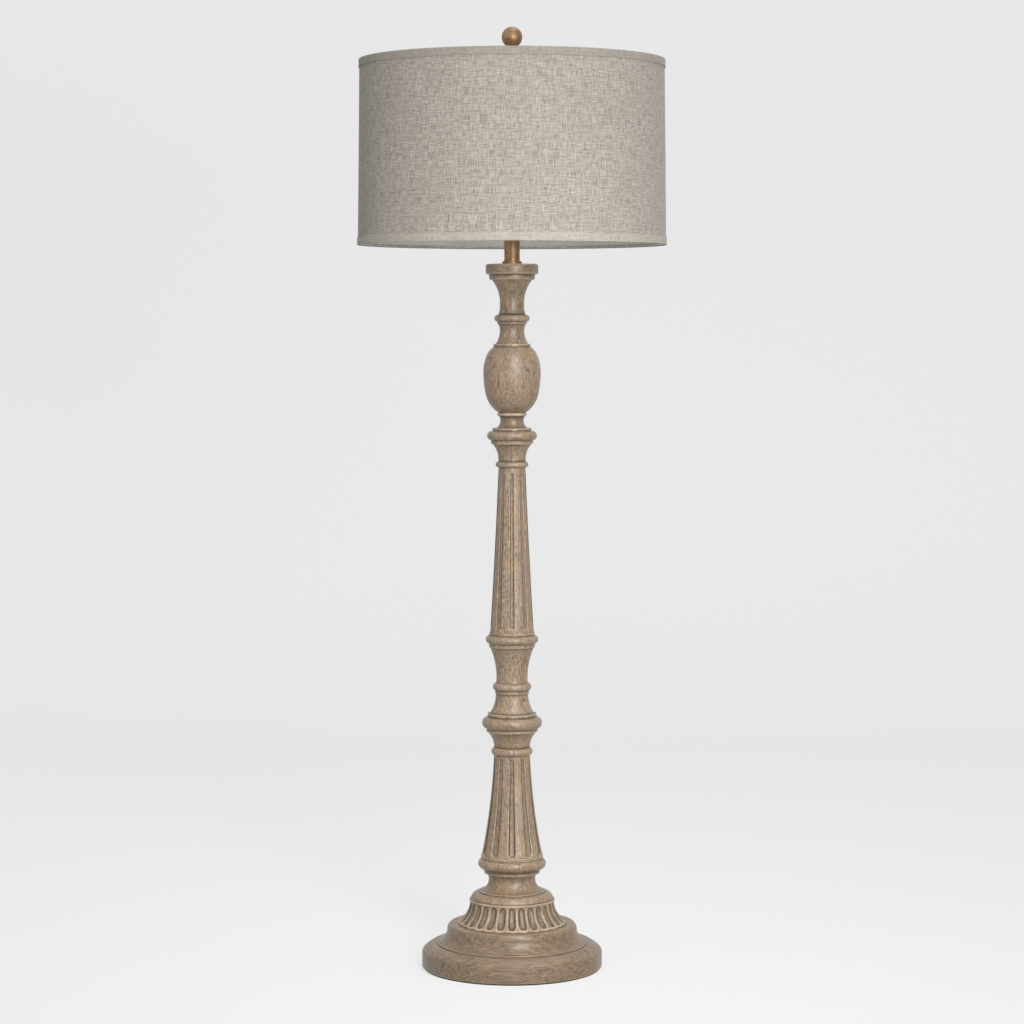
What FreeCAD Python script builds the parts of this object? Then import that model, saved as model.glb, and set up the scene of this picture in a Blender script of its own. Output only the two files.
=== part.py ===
import FreeCAD, Part
import math
import os
import Sketcher

# A candlestick floor lamp: turned and fluted wooden pieces threaded on a lamp pipe, over a
# weighted round base, with a socket, a harp and a linen drum shade held by a ball finial.
# Millimetres, +Z up. The origin is the middle of the underside, on the floor.

SIZES = {
    # lamp pipe, the hardware that clamps the column, and the cord's way in
    "pipe_radius": 5.15,
    "pipe_bore_radius": 3.4,
    "pipe_clearance": 0.3,
    "pipe_tail": 2.0,
    "pipe_thread_above_saddle": 11.0,
    "nut_half_flats": 8.5,
    "nut_thickness": 4.0,
    "washer_radius": 19.0,
    "washer_thickness": 2.0,
    "cord_bore_radius": 4.0,
    "bushing_radius": 6.0,
    "bushing_length": 16.0,
    "bushing_flange_radius": 8.5,
    "bushing_flange_thickness": 2.2,
    "bushing_seat_depth": 1.2,
    "bushing_clearance": 0.1,
    "cord_hole_height": 11.8,
    # felt, plinth and weight
    "felt_radius": 146.0,
    "felt_thickness": 2.0,
    "plinth_radius": 149.0,
    "plinth_edge_radius": 146.6,
    "plinth_edge_height": 2.4,
    "plinth_band_height": 23.4,
    "shoulder_radius": 147.8,
    "shoulder_rise": 2.7,
    "shoulder_swell": 0.9,
    "shoulder_top_radius": 133.0,
    "shoulder_height": 10.5,
    "weight_radius": 105.0,
    "weight_thickness": 18.0,
    "weight_clearance": 0.5,
    "cord_space": 16.0,
    # riser over the plinth
    "riser_foot_radius": 124.0,
    "riser_foot_height": 2.2,
    "riser_flare_radius": 121.8,
    "riser_neck_radius": 107.3,
    "riser_flare_height": 22.0,
    "riser_rim_radius": 102.8,
    "riser_rim_height": 8.6,
    # fluted cove
    "cove_foot_radius": 89.0,
    "cove_foot_height": 3.6,
    "cove_flare_radius": 87.5,
    "cove_neck_radius": 69.6,
    "cove_flare_height": 34.0,
    "cove_flute_count": 28,
    "cove_flute_margin": 6.2,
    "cove_flute_depth": 2.8,
    "cove_flute_foot_radius": 10.6,
    "cove_flute_top_radius": 7.6,
    # neck of the base
    "neck_ring_radius": 70.6,
    "neck_ring_height": 3.4,
    "ovolo_radius": 68.0,
    "ovolo_top_radius": 56.6,
    "ovolo_height": 11.6,
    "ovolo_lip_radius": 54.6,
    "ovolo_lip_height": 2.4,
    "scotia_foot_radius": 51.6,
    "scotia_throat_radius": 38.4,
    "scotia_foot_height": 19.0,
    "scotia_top_radius": 42.0,
    "scotia_top_height": 10.0,
    # collar under the lower shaft
    "foot_fillet_radius": 46.0,
    "foot_fillet_height": 6.8,
    "foot_torus_root": 47.0,
    "foot_torus_radius": 56.0,
    "foot_torus_height": 18.4,
    "foot_lip_radius": 51.3,
    "foot_lip_height": 5.6,
    # lower fluted shaft
    "lower_shaft_foot_radius": 50.0,
    "lower_shaft_top_radius": 29.8,
    "lower_shaft_height": 165.0,
    "lower_shaft_hollow": 3.3,
    "lower_flute_count": 10,
    "lower_flute_margin": 7.0,
    "lower_flute_foot_depth": 4.0,
    "lower_flute_top_depth": 2.2,
    "lower_flute_foot_radius": 8.0,
    "lower_flute_top_radius": 3.8,
    # collar between the lower shaft and the spool
    "waist_bead_root": 29.8,
    "waist_bead_radius": 34.0,
    "waist_bead_height": 13.3,
    "waist_neck_radius": 29.6,
    "waist_cup_radius": 41.0,
    "waist_cup_height": 26.4,
    "waist_fillet_radius": 42.4,
    "waist_fillet_height": 4.4,
    "waist_torus_root": 40.5,
    "waist_torus_radius": 49.5,
    "waist_torus_height": 19.9,
    "waist_step_radius": 40.4,
    "waist_step_height": 6.0,
    "waist_bell_radius": 36.5,
    "waist_bell_top_radius": 26.7,
    "waist_bell_height": 32.2,
    "waist_lip_radius": 27.8,
    "waist_lip_height": 5.0,
    "waist_crown_root": 26.6,
    "waist_crown_radius": 31.8,
    "waist_crown_height": 13.3,
    # spool under the upper shaft
    "spool_foot_radius": 26.2,
    "spool_foot_height": 9.0,
    "spool_neck_radius": 25.7,
    "spool_cup_radius": 36.3,
    "spool_cup_height": 49.9,
    "spool_fillet_radius": 37.9,
    "spool_fillet_height": 5.8,
    "spool_torus_root": 37.0,
    "spool_torus_radius": 43.3,
    "spool_torus_height": 14.0,
    "spool_lip_radius": 37.4,
    "spool_lip_height": 5.0,
    # upper fluted shaft
    "upper_shaft_foot_radius": 35.9,
    "upper_shaft_top_radius": 22.2,
    "upper_shaft_height": 271.4,
    "upper_shaft_hollow": 0.7,
    "upper_flute_count": 9,
    "upper_flute_margin": 12.0,
    "upper_flute_foot_depth": 2.4,
    "upper_flute_top_depth": 1.3,
    "upper_flute_foot_radius": 5.6,
    "upper_flute_top_radius": 2.8,
    # collar under the urn
    "urn_bead_root": 22.4,
    "urn_bead_radius": 27.0,
    "urn_bead_height": 9.9,
    "urn_cup_neck_radius": 22.5,
    "urn_straight_height": 4.0,
    "urn_cup_radius": 32.2,
    "urn_cup_height": 24.8,
    "urn_fillet_radius": 34.6,
    "urn_fillet_height": 5.7,
    "urn_torus_root": 33.5,
    "urn_torus_radius": 41.0,
    "urn_torus_height": 15.6,
    "urn_step_radius": 32.0,
    "urn_step_height": 4.9,
    "urn_throat_foot_radius": 26.0,
    "urn_throat_radius": 19.1,
    "urn_throat_foot_height": 12.4,
    "urn_throat_top_radius": 21.0,
    "urn_throat_top_height": 6.5,
    "urn_seat_radius": 24.0,
    "urn_seat_height": 6.6,
    # urn
    "urn_foot_radius": 23.2,
    "urn_foot_swell": 4.0,
    "urn_flank_radius": 43.9,
    "urn_flank_height": 32.8,
    "urn_belly_radius": 47.1,
    "urn_belly_height": 32.8,
    "urn_shoulder_radius": 42.2,
    "urn_shoulder_height": 26.4,
    "urn_crown_swell": 1.6,
    "urn_crown_radius": 30.0,
    "urn_crown_height": 15.6,
    "urn_lip_radius": 30.3,
    "urn_lip_height": 4.6,
    # neck over the urn
    "neck_cup_radius": 26.9,
    "neck_waist_radius": 20.0,
    "neck_cup_height": 22.0,
    "neck_rise_radius": 22.8,
    "neck_rise_height": 10.4,
    "neck_fillet_radius": 24.1,
    "neck_fillet_height": 3.6,
    "neck_bead_root": 23.6,
    "neck_bead_radius": 29.0,
    "neck_bead_height": 11.4,
    "neck_flare_foot_radius": 22.8,
    "neck_flare_waist_radius": 19.9,
    "neck_flare_foot_height": 14.4,
    "neck_straight_height": 6.0,
    "neck_flare_radius": 33.2,
    "neck_flare_height": 36.8,
    # cap of the column
    "cap_step_edge_radius": 35.4,
    "cap_step_edge_height": 2.3,
    "cap_step_radius": 37.5,
    "cap_step_height": 6.6,
    "cap_edge_radius": 40.0,
    "cap_radius": 43.2,
    "cap_edge_height": 3.4,
    "cap_band_height": 9.1,
    "cap_top_radius": 38.6,
    "cap_top_height": 4.6,
    # brass neck tube and its ring
    "check_ring_radius": 15.9,
    "check_ring_height": 4.3,
    "neck_tube_radius": 12.7,
    "neck_tube_wall": 1.2,
    "neck_tube_length": 62.0,
    # harp saddle: a strip with a sloping arm at each side, and a post riveted in each arm's end
    "saddle_width": 12.0,
    "saddle_thickness": 1.6,
    "saddle_flat_half_length": 19.0,
    "saddle_rise": 9.0,
    "saddle_shelf_half_length": 4.0,
    "peg_height": 9.0,
    # harp
    "harp_wire_radius": 1.6,
    "harp_leg_spread": 30.0,
    "harp_leg_height": 42.0,
    "harp_leg_bend": 30.0,
    "harp_side_spread": 61.0,
    "harp_side_height": 128.0,
    "harp_side_bend": 95.0,
    "harp_shoulder_spread": 45.0,
    "harp_shoulder_bend": 36.0,
    "harp_height": 236.0,
    "ferrule_clearance": 0.3,
    "ferrule_wall": 1.3,
    "ferrule_length": 17.0,
    "ferrule_seat_clearance": 0.3,
    "stud_block_radius": 7.0,
    "stud_block_height": 8.0,
    "stud_radius": 3.0,
    "stud_reach": 12.0,
    "thread_clearance": 0.1,
    "harp_clearance": 0.05,
    # socket, switch and bulb
    "cap_cup_foot_radius": 9.0,
    "cap_cup_radius": 17.4,
    "cap_cup_height": 17.0,
    "cap_bowl_height": 9.5,
    "cap_collar_radius": 7.4,
    "cap_collar_height": 8.0,
    "socket_wall": 0.8,
    "shell_length": 45.0,
    "shell_overlap": 5.0,
    "shell_clearance": 0.1,
    "sleeve_wall": 0.7,
    "sleeve_clearance": 0.2,
    "socket_body_height": 18.0,
    "screw_shell_radius": 13.4,
    "screw_shell_wall": 0.6,
    "screw_shell_height": 24.0,
    "contact_radius": 4.0,
    "contact_height": 2.0,
    "switch_stem_radius": 2.0,
    "switch_stem_depth": 7.0,
    "switch_height": 9.0,
    "switch_clearance": 0.3,
    "knob_radius": 5.5,
    "knob_collar_length": 5.0,
    "knob_stand_off": 7.0,
    "paddle_thickness": 3.2,
    "paddle_length": 10.0,
    "bulb_thread_clearance": 0.3,
    "bulb_base_length": 20.0,
    "bulb_tip_radius": 4.6,
    "bulb_tip_height": 1.6,
    "bulb_cone_height": 3.0,
    "bulb_neck_radius": 13.6,
    "bulb_neck_height": 8.0,
    "bulb_radius": 30.0,
    "bulb_flare_radius": 24.0,
    "bulb_flare_height": 26.0,
    "bulb_swell_height": 14.0,
    "bulb_wall": 0.9,
    # shade
    "hub_radius": 15.0,
    "hub_thickness": 3.0,
    "stud_clearance": 0.3,
    "arm_count": 3,
    "first_arm_angle": 30.0,
    "arm_radius": 1.6,
    "ring_wire_radius": 1.6,
    "ring_inset": 3.4,
    "ring_clearance": 0.1,
    "shade_height": 300.0,
    "shade_top_radius": 248.4,
    "shade_bottom_radius": 251.8,
    "liner_wall": 1.0,
    "linen_wall": 0.9,
    "hem_height": 12.7,
    "hem_wall": 1.3,
    "hem_clearance": 0.1,
    # finial
    "finial_foot_radius": 9.0,
    "finial_foot_height": 3.0,
    "finial_neck_radius": 5.4,
    "finial_cove_radius": 7.6,
    "finial_cove_height": 8.0,
    "finial_disc_radius": 8.2,
    "finial_disc_height": 3.0,
    "finial_stem_radius": 6.0,
    "finial_stem_height": 9.1,
    "ball_radius": 16.9,
    "finial_bore_depth": 16.0,
    "finial_seat_clearance": 0.3,
}


class Length:
    """A length in millimetres together with the spreadsheet expression that gives it."""

    def __init__(self, value, text):
        self.value = value
        self.text = text

    @staticmethod
    def of(other):
        return other if isinstance(other, Length) else Length(float(other), repr(float(other)))

    def __add__(self, other):
        other = Length.of(other)
        return Length(self.value + other.value, f"({self.text} + {other.text})")

    def __sub__(self, other):
        other = Length.of(other)
        return Length(self.value - other.value, f"({self.text} - {other.text})")

    def __mul__(self, other):
        other = Length.of(other)
        return Length(self.value * other.value, f"({self.text} * {other.text})")

    def __truediv__(self, other):
        other = Length.of(other)
        return Length(self.value / other.value, f"({self.text} / {other.text})")

    def __neg__(self):
        return Length(-self.value, f"(0 - {self.text})")

    def root(self):
        return Length(math.sqrt(self.value), f"sqrt({self.text})")


class Sizes:
    """The spreadsheet of driving sizes; each one is read as an attribute."""

    def __init__(self, document, values):
        self.values = values
        self.sheet = document.addObject("Spreadsheet::Sheet", "Sizes")
        for row, (alias, value) in enumerate(values.items(), start=1):
            self.sheet.set(f"A{row}", alias)
            self.sheet.set(f"B{row}", str(value))
            self.sheet.setAlias(f"B{row}", alias)
        document.recompute()

    def __getattr__(self, alias):
        return Length(self.values[alias], f"Sizes.{alias}")


doc = FreeCAD.newDocument("CandlestickLamp")
S = Sizes(doc, SIZES)
FLOOR = Length(0.0, "0")
parts = []


# ---------------------------------------------------------------- bodies, features and outlines

def body(name, height=FLOOR, side=FLOOR, angle=0.0):
    """A new sub-part standing at a height over the floor, set off along X or turned about Z."""
    part = doc.addObject("PartDesign::Body", name)
    part.Label = name
    part.Placement.Rotation = FreeCAD.Rotation(FreeCAD.Vector(0, 0, 1), angle)
    part.setExpression("Placement.Base.z", height.text)
    part.setExpression("Placement.Base.x", side.text)
    parts.append(part)
    return part


def origin_feature(part, role):
    return next(feature for feature in part.Origin.OriginFeatures if feature.Role == role)


def attach(feature, part, role):
    feature.AttachmentSupport = [(origin_feature(part, role), "")]
    feature.MapMode = "FlatFace"


def add(part, kind, name, role="XY_Plane", offset=FLOOR, across=FLOOR, **lengths):
    """A PartDesign primitive on an origin plane, at an offset along the plane's normal."""
    feature = part.newObject(f"PartDesign::{kind}", name)
    attach(feature, part, role)
    feature.setExpression("AttachmentOffset.Base.z", offset.text)
    if role == "XY_Plane":
        feature.setExpression("AttachmentOffset.Base.x", across.text)
    else:
        feature.setExpression("AttachmentOffset.Base.y", across.text)
    for name, length in lengths.items():
        feature.setExpression(name, length.text)
    return feature


class Outline:
    """A closed outline in the upright plane, drawn from point to point with lines and arcs."""

    def __init__(self, radius, height=FLOOR, closing=("line",)):
        self.points = [(radius, height)]
        self.edges = []
        self.closing = closing

    def to(self, radius, height, edge=("line",)):
        self.points.append((radius, height))
        self.edges.append(edge)
        return self

    def step(self, radius):
        """Straight and level, to a radius."""
        return self.to(radius, self.points[-1][1])

    def slope(self, radius, height):
        """Straight to a radius while rising by a height."""
        return self.to(radius, self.points[-1][1] + height)

    def rise(self, height):
        """Straight up."""
        return self.slope(self.points[-1][0], height)

    def leave_upright(self, radius, height):
        """A round stretch that starts upright and bends to the radius."""
        return self.to(radius, self.points[-1][1] + height, ("upright start",))

    def arrive_upright(self, radius, height):
        """A round stretch that bends to the radius and ends upright there."""
        return self.to(radius, self.points[-1][1] + height, ("upright end",))

    def bow(self, radius, height, hollow):
        """A shallow stretch that is hollowed towards the axis in its middle."""
        return self.to(radius, self.points[-1][1] + height, ("bow", hollow))

    def bead(self, belly, height):
        """A round stretch that swells to a belly and comes back to the same radius."""
        radius, foot = self.points[-1]
        return self.to(radius, foot + height, ("bow", radius - belly))

    def draw(self, part, name):
        """Draw the outline as a bound sketch, closed from its last point to its first."""
        sketch = part.newObject("Sketcher::SketchObject", name)
        attach(sketch, part, "XZ_Plane")
        edges = self.edges + [self.closing]
        ends = self.points[1:] + self.points[:1]
        starts = []
        for edge, first, last in zip(edges, self.points, ends):
            starts.append(draw_edge(sketch, edge, first, last))
        for index, start in enumerate(starts):
            after = (index + 1) % len(edges)
            sketch.addConstraint(Sketcher.Constraint("Coincident", index, 3 - start, after, starts[after]))
        for index, (radius, height) in enumerate(self.points):
            bind_point(sketch, index, starts[index], radius, height)
        for index, edge in enumerate(edges):
            bind_arc(sketch, index, edge, starts[index], self.points[index], ends[index])
        return sketch


def flat(point):
    return FreeCAD.Vector(point[0].value, point[1].value, 0)


def arc_middle(edge, first, last):
    """The point halfway along an arc of an outline."""
    start = flat(first)
    end = flat(last)
    chord = end - start
    if edge[0] == "bow":
        outward = FreeCAD.Vector(chord.y, -chord.x, 0).normalize()
        return start + chord * 0.5 - outward * edge[1].value
    level = start if edge[0] == "upright start" else end
    other = end if edge[0] == "upright start" else start
    away = other - level
    radius = chord.dot(chord) / (2 * abs(chord.x))
    centre = level + FreeCAD.Vector(math.copysign(radius, away.x), 0, 0)
    middle = (level - centre).normalize() + (other - centre).normalize()
    return centre + middle.normalize() * radius


def draw_edge(sketch, edge, first, last):
    """Draw one edge and return which of its two ends the outline reaches first."""
    if edge[0] == "line":
        sketch.addGeometry(Part.LineSegment(flat(first), flat(last)), False)
        return 1
    index = sketch.addGeometry(Part.Arc(flat(first), arc_middle(edge, first, last), flat(last)), False)
    near = (sketch.getPoint(index, 1) - flat(first)).Length < (sketch.getPoint(index, 2) - flat(first)).Length
    return 1 if near else 2


def bind(sketch, constraint, length):
    number = sketch.addConstraint(constraint)
    sketch.setExpression(f"Constraints[{number}]", length.text)


def bind_point(sketch, edge, end, radius, height):
    """Tie a corner of an outline to its radius and its height."""
    for kind, axis, length in (("DistanceX", -2, radius), ("DistanceY", -1, height)):
        if length.text == FLOOR.text:
            sketch.addConstraint(Sketcher.Constraint("PointOnObject", edge, end, axis))
        else:
            bind(sketch, Sketcher.Constraint(kind, -1, 1, edge, end, length.value), length)


def bind_arc(sketch, index, edge, start, first, last):
    """Tie an arc to the radius that its ends and its hollow give, or to its level centre."""
    if edge[0] == "bow":
        across = last[0] - first[0]
        along = last[1] - first[1]
        hollow = edge[1]
        radius = (across * across + along * along + hollow * hollow * 4.0) / (hollow * 8.0)
        if radius.value < 0:
            radius = -radius
        bind(sketch, Sketcher.Constraint("Radius", index, radius.value), radius)
    if edge[0] == "upright start":
        sketch.addConstraint(Sketcher.Constraint("Horizontal", index, 3, index, start))
    if edge[0] == "upright end":
        sketch.addConstraint(Sketcher.Constraint("Horizontal", index, 3, index, 3 - start))


def turn(part, outline, name="Turned"):
    """Turn an outline about the part's own Z axis into solid material."""
    sketch = outline.draw(part, f"{name}Outline")
    feature = part.newObject("PartDesign::Revolution", name)
    feature.Profile = sketch
    feature.ReferenceAxis = (sketch, ["V_Axis"])
    feature.Angle = 360
    return feature


def turned_piece(name, height, outline, angle=0.0):
    """A turned piece whose outline starts at its bore's foot; returns it and its top's height."""
    part = body(name, height, angle=angle)
    outline.step(outline.points[0][0])
    turn(part, outline)
    foot = Length(height.value, f"{name}.Placement.Base.z / 1mm")
    return part, foot + outline.points[-1][1]


def disc(name, height, radius, thickness, bore=None):
    """A plain round piece, bored where it is threaded on something."""
    part = body(name, height)
    add(part, "AdditiveCylinder", "Disc", Radius=radius, Height=thickness)
    if bore:
        add(part, "SubtractiveCylinder", "Bore", Radius=bore, Height=thickness)
    return part


def arc_radius_at(flare, neck, height, up):
    """The radius of a stretch that arrives upright at its neck, at a height above its foot."""
    spread = flare - neck
    curve = (spread * spread + height * height) / (spread * 2.0)
    below = height - up
    return neck + curve - (curve * curve - below * below).root(), curve


def bow_radius_at(foot, top, height, hollow, up):
    """The radius of a bowed stretch at a height above its foot."""
    share = up / height
    return foot + (top - foot) * share - hollow * 4.0 * share * (Length.of(1.0) - share)


def carve_flutes(part, count, foot, top, foot_radius, top_radius, hollow):
    """Carve round-ended flutes all round; foot and top are the ends of a flute's floor."""
    cutter = Outline(top[0] + top_radius, top[1] + top_radius, closing=("upright start",))
    cutter.to(foot[0] + foot_radius, foot[1] - foot_radius)
    cutter.to(foot[0], foot[1], ("upright end",))
    cutter.to(top[0], top[1], ("bow", hollow))
    sketch = cutter.draw(part, "FluteOutline")
    flute = part.newObject("PartDesign::Groove", "Flute")
    flute.Profile = sketch
    flute.ReferenceAxis = (sketch, ["Edge1"])
    flute.Angle = 360
    doc.recompute()
    pattern = part.newObject("PartDesign::PolarPattern", "Flutes")
    pattern.Originals = [flute]
    pattern.Axis = (origin_feature(part, "Z_Axis"), [""])
    pattern.Angle = 360
    pattern.setExpression("Occurrences", count.text)
    part.Tip = pattern


def flute_shaft(part, count, shaft, margin, foot_cut, top_cut):
    """Flute a bowed shaft; a cut is the flute's depth and its cutter's radius at that end."""
    foot, top, height, hollow = shaft
    foot_floor = bow_radius_at(foot, top, height, hollow, margin) - foot_cut[0]
    top_floor = bow_radius_at(foot, top, height, hollow, height - margin) - top_cut[0]
    share = Length.of(1.0) - margin * 2.0 / height
    floor = [(foot_floor, margin), (top_floor, height - margin)]
    carve_flutes(part, count, *floor, foot_cut[1], top_cut[1], hollow * share * share)


# ---------------------------------------------------------------- base

thread_bore = S.pipe_radius + S.thread_clearance
bore = S.pipe_radius + S.pipe_clearance
weight_foot = S.felt_thickness + S.cord_space
washer_foot = weight_foot - S.washer_thickness
nut_foot = washer_foot - S.nut_thickness

disc("felt_pad", FLOOR, S.felt_radius, S.felt_thickness)
disc("base_weight", weight_foot, S.weight_radius, S.weight_thickness, bore)
disc("base_washer", washer_foot, S.washer_radius, S.washer_thickness, bore)

base_nut = body("base_nut", nut_foot)
hexagon = add(base_nut, "AdditivePrism", "Hexagon", Height=S.nut_thickness)
hexagon.Polygon = 6
hexagon.setExpression("Circumradius", f"{S.nut_half_flats.text} / cos(30)")
add(base_nut, "SubtractiveCylinder", "Thread", Radius=thread_bore, Height=S.nut_thickness)

plinth = Outline(bore).step(S.plinth_edge_radius)
plinth.arrive_upright(S.plinth_radius, S.plinth_edge_height).rise(S.plinth_band_height)
plinth.step(S.shoulder_radius).rise(S.shoulder_rise)
plinth.bow(S.shoulder_top_radius, S.shoulder_height, -S.shoulder_swell)
base_plinth, column_top = turned_piece("base_plinth", S.felt_thickness, plinth)
recess = {"Radius": S.weight_radius + S.weight_clearance, "Height": S.cord_space + S.weight_thickness}
add(base_plinth, "SubtractiveCylinder", "WeightRecess", **recess)

# The cord's bushing sits in a hole at the back, its flange let into a flat seat.
flange_back = S.plinth_radius - S.bushing_seat_depth
flange_front = flange_back + S.bushing_flange_thickness
hole = {"Radius": S.bushing_radius + S.bushing_clearance, "Height": flange_front - S.weight_radius}
seat = {"Radius": S.bushing_flange_radius + S.bushing_clearance, "Height": S.bushing_flange_thickness}
at_back = {"role": "XZ_Plane", "across": S.cord_hole_height}
add(base_plinth, "SubtractiveCylinder", "CordHole", offset=-flange_front, **at_back, **hole)
add(base_plinth, "SubtractiveCylinder", "BushingSeat", offset=-flange_front, **at_back, **seat)

cord_bushing = body("cord_bushing", S.felt_thickness)
flange = {"Radius": S.bushing_flange_radius, "Height": S.bushing_flange_thickness}
barrel = {"Radius": S.bushing_radius, "Height": S.bushing_length}
cord_bore = {"Radius": S.cord_bore_radius, "Height": S.bushing_length + S.bushing_flange_thickness}
add(cord_bushing, "AdditiveCylinder", "Flange", offset=-flange_front, **at_back, **flange)
add(cord_bushing, "AdditiveCylinder", "Barrel", offset=-flange_back, **at_back, **barrel)
add(cord_bushing, "SubtractiveCylinder", "CordBore", offset=-flange_front, **at_back, **cord_bore)

riser = Outline(bore).step(S.riser_foot_radius).rise(S.riser_foot_height)
riser.step(S.riser_flare_radius).arrive_upright(S.riser_neck_radius, S.riser_flare_height)
riser.leave_upright(S.riser_rim_radius, S.riser_rim_height)
base_riser, column_top = turned_piece("base_riser", column_top, riser)

cove = Outline(bore).step(S.cove_foot_radius).rise(S.cove_foot_height)
cove.step(S.cove_flare_radius).arrive_upright(S.cove_neck_radius, S.cove_flare_height)
fluted_cove, column_top = turned_piece("fluted_cove", column_top, cove)
cove_shape = (S.cove_flare_radius, S.cove_neck_radius, S.cove_flare_height)
cove_foot, cove_curve = arc_radius_at(*cove_shape, S.cove_flute_margin)
cove_top, cove_curve = arc_radius_at(*cove_shape, S.cove_flare_height - S.cove_flute_margin)
cove_foot = (cove_foot - S.cove_flute_depth, S.cove_foot_height + S.cove_flute_margin)
cove_top = (cove_top - S.cove_flute_depth, S.cove_foot_height + S.cove_flare_height - S.cove_flute_margin)
span = cove_foot[0] - cove_top[0]
climb = cove_top[1] - cove_foot[1]
half_chord_squared = (span * span + climb * climb) / 4.0
cove_hollow = cove_curve - (cove_curve * cove_curve - half_chord_squared).root()
cove_cutter = (S.cove_flute_foot_radius, S.cove_flute_top_radius)
carve_flutes(fluted_cove, S.cove_flute_count, cove_foot, cove_top, *cove_cutter, cove_hollow)

pedestal = Outline(bore).step(S.neck_ring_radius).rise(S.neck_ring_height)
pedestal.step(S.ovolo_radius).leave_upright(S.ovolo_top_radius, S.ovolo_height)
pedestal.step(S.ovolo_lip_radius).rise(S.ovolo_lip_height)
pedestal.step(S.scotia_foot_radius).arrive_upright(S.scotia_throat_radius, S.scotia_foot_height)
pedestal.leave_upright(S.scotia_top_radius, S.scotia_top_height)
base_neck, column_top = turned_piece("base_neck", column_top, pedestal)


# ---------------------------------------------------------------- column

def fillet(outline, radius, height):
    """A narrow upright band."""
    return outline.step(radius).rise(height)


def torus(outline, root, belly, height):
    """A round swelling that springs from its root on both sides."""
    return outline.step(root).bead(belly, height)


foot = fillet(Outline(bore), S.foot_fillet_radius, S.foot_fillet_height)
torus(foot, S.foot_torus_root, S.foot_torus_radius, S.foot_torus_height)
fillet(foot, S.foot_lip_radius, S.foot_lip_height)
foot_collar, column_top = turned_piece("foot_collar", column_top, foot)

# Each shaft is turned round until one of its flutes faces the front.
front = -90.0
lower = (S.lower_shaft_foot_radius, S.lower_shaft_top_radius, S.lower_shaft_height, S.lower_shaft_hollow)
taper = Outline(bore).step(lower[0]).bow(*lower[1:])
lower_shaft, column_top = turned_piece("lower_shaft", column_top, taper, front)
lower_foot_cut = (S.lower_flute_foot_depth, S.lower_flute_foot_radius)
lower_top_cut = (S.lower_flute_top_depth, S.lower_flute_top_radius)
flute_shaft(lower_shaft, S.lower_flute_count, lower, S.lower_flute_margin, lower_foot_cut, lower_top_cut)

waist = torus(Outline(bore), S.waist_bead_root, S.waist_bead_radius, S.waist_bead_height)
waist.step(S.waist_neck_radius).leave_upright(S.waist_cup_radius, S.waist_cup_height)
fillet(waist, S.waist_fillet_radius, S.waist_fillet_height)
torus(waist, S.waist_torus_root, S.waist_torus_radius, S.waist_torus_height)
fillet(waist, S.waist_step_radius, S.waist_step_height)
waist.step(S.waist_bell_radius).arrive_upright(S.waist_bell_top_radius, S.waist_bell_height)
fillet(waist, S.waist_lip_radius, S.waist_lip_height)
torus(waist, S.waist_crown_root, S.waist_crown_radius, S.waist_crown_height)
waist_collar, column_top = turned_piece("waist_collar", column_top, waist)

spool = Outline(bore).step(S.spool_foot_radius).arrive_upright(S.spool_neck_radius, S.spool_foot_height)
spool.leave_upright(S.spool_cup_radius, S.spool_cup_height)
fillet(spool, S.spool_fillet_radius, S.spool_fillet_height)
torus(spool, S.spool_torus_root, S.spool_torus_radius, S.spool_torus_height)
fillet(spool, S.spool_lip_radius, S.spool_lip_height)
middle_spool, column_top = turned_piece("middle_spool", column_top, spool)

upper = (S.upper_shaft_foot_radius, S.upper_shaft_top_radius, S.upper_shaft_height, S.upper_shaft_hollow)
taper = Outline(bore).step(upper[0]).bow(*upper[1:])
upper_shaft, column_top = turned_piece("upper_shaft", column_top, taper, front)
upper_foot_cut = (S.upper_flute_foot_depth, S.upper_flute_foot_radius)
upper_top_cut = (S.upper_flute_top_depth, S.upper_flute_top_radius)
flute_shaft(upper_shaft, S.upper_flute_count, upper, S.upper_flute_margin, upper_foot_cut, upper_top_cut)

collar = torus(Outline(bore), S.urn_bead_root, S.urn_bead_radius, S.urn_bead_height)
collar.step(S.urn_cup_neck_radius).rise(S.urn_straight_height)
collar.leave_upright(S.urn_cup_radius, S.urn_cup_height)
fillet(collar, S.urn_fillet_radius, S.urn_fillet_height)
torus(collar, S.urn_torus_root, S.urn_torus_radius, S.urn_torus_height)
fillet(collar, S.urn_step_radius, S.urn_step_height)
collar.step(S.urn_throat_foot_radius).arrive_upright(S.urn_throat_radius, S.urn_throat_foot_height)
collar.leave_upright(S.urn_throat_top_radius, S.urn_throat_top_height)
collar.bead(S.urn_seat_radius, S.urn_seat_height)
urn_collar, column_top = turned_piece("urn_collar", column_top, collar)

egg = Outline(bore).step(S.urn_foot_radius).bow(S.urn_flank_radius, S.urn_flank_height, -S.urn_foot_swell)
egg.arrive_upright(S.urn_belly_radius, S.urn_belly_height)
egg.leave_upright(S.urn_shoulder_radius, S.urn_shoulder_height)
egg.bow(S.urn_crown_radius, S.urn_crown_height, -S.urn_crown_swell)
fillet(egg, S.urn_lip_radius, S.urn_lip_height)
urn, column_top = turned_piece("urn", column_top, egg)

neck = Outline(bore).step(S.neck_cup_radius).arrive_upright(S.neck_waist_radius, S.neck_cup_height)
neck.leave_upright(S.neck_rise_radius, S.neck_rise_height)
fillet(neck, S.neck_fillet_radius, S.neck_fillet_height)
torus(neck, S.neck_bead_root, S.neck_bead_radius, S.neck_bead_height)
neck.step(S.neck_flare_foot_radius).arrive_upright(S.neck_flare_waist_radius, S.neck_flare_foot_height)
neck.rise(S.neck_straight_height).leave_upright(S.neck_flare_radius, S.neck_flare_height)
column_neck, column_top = turned_piece("column_neck", column_top, neck)

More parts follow.
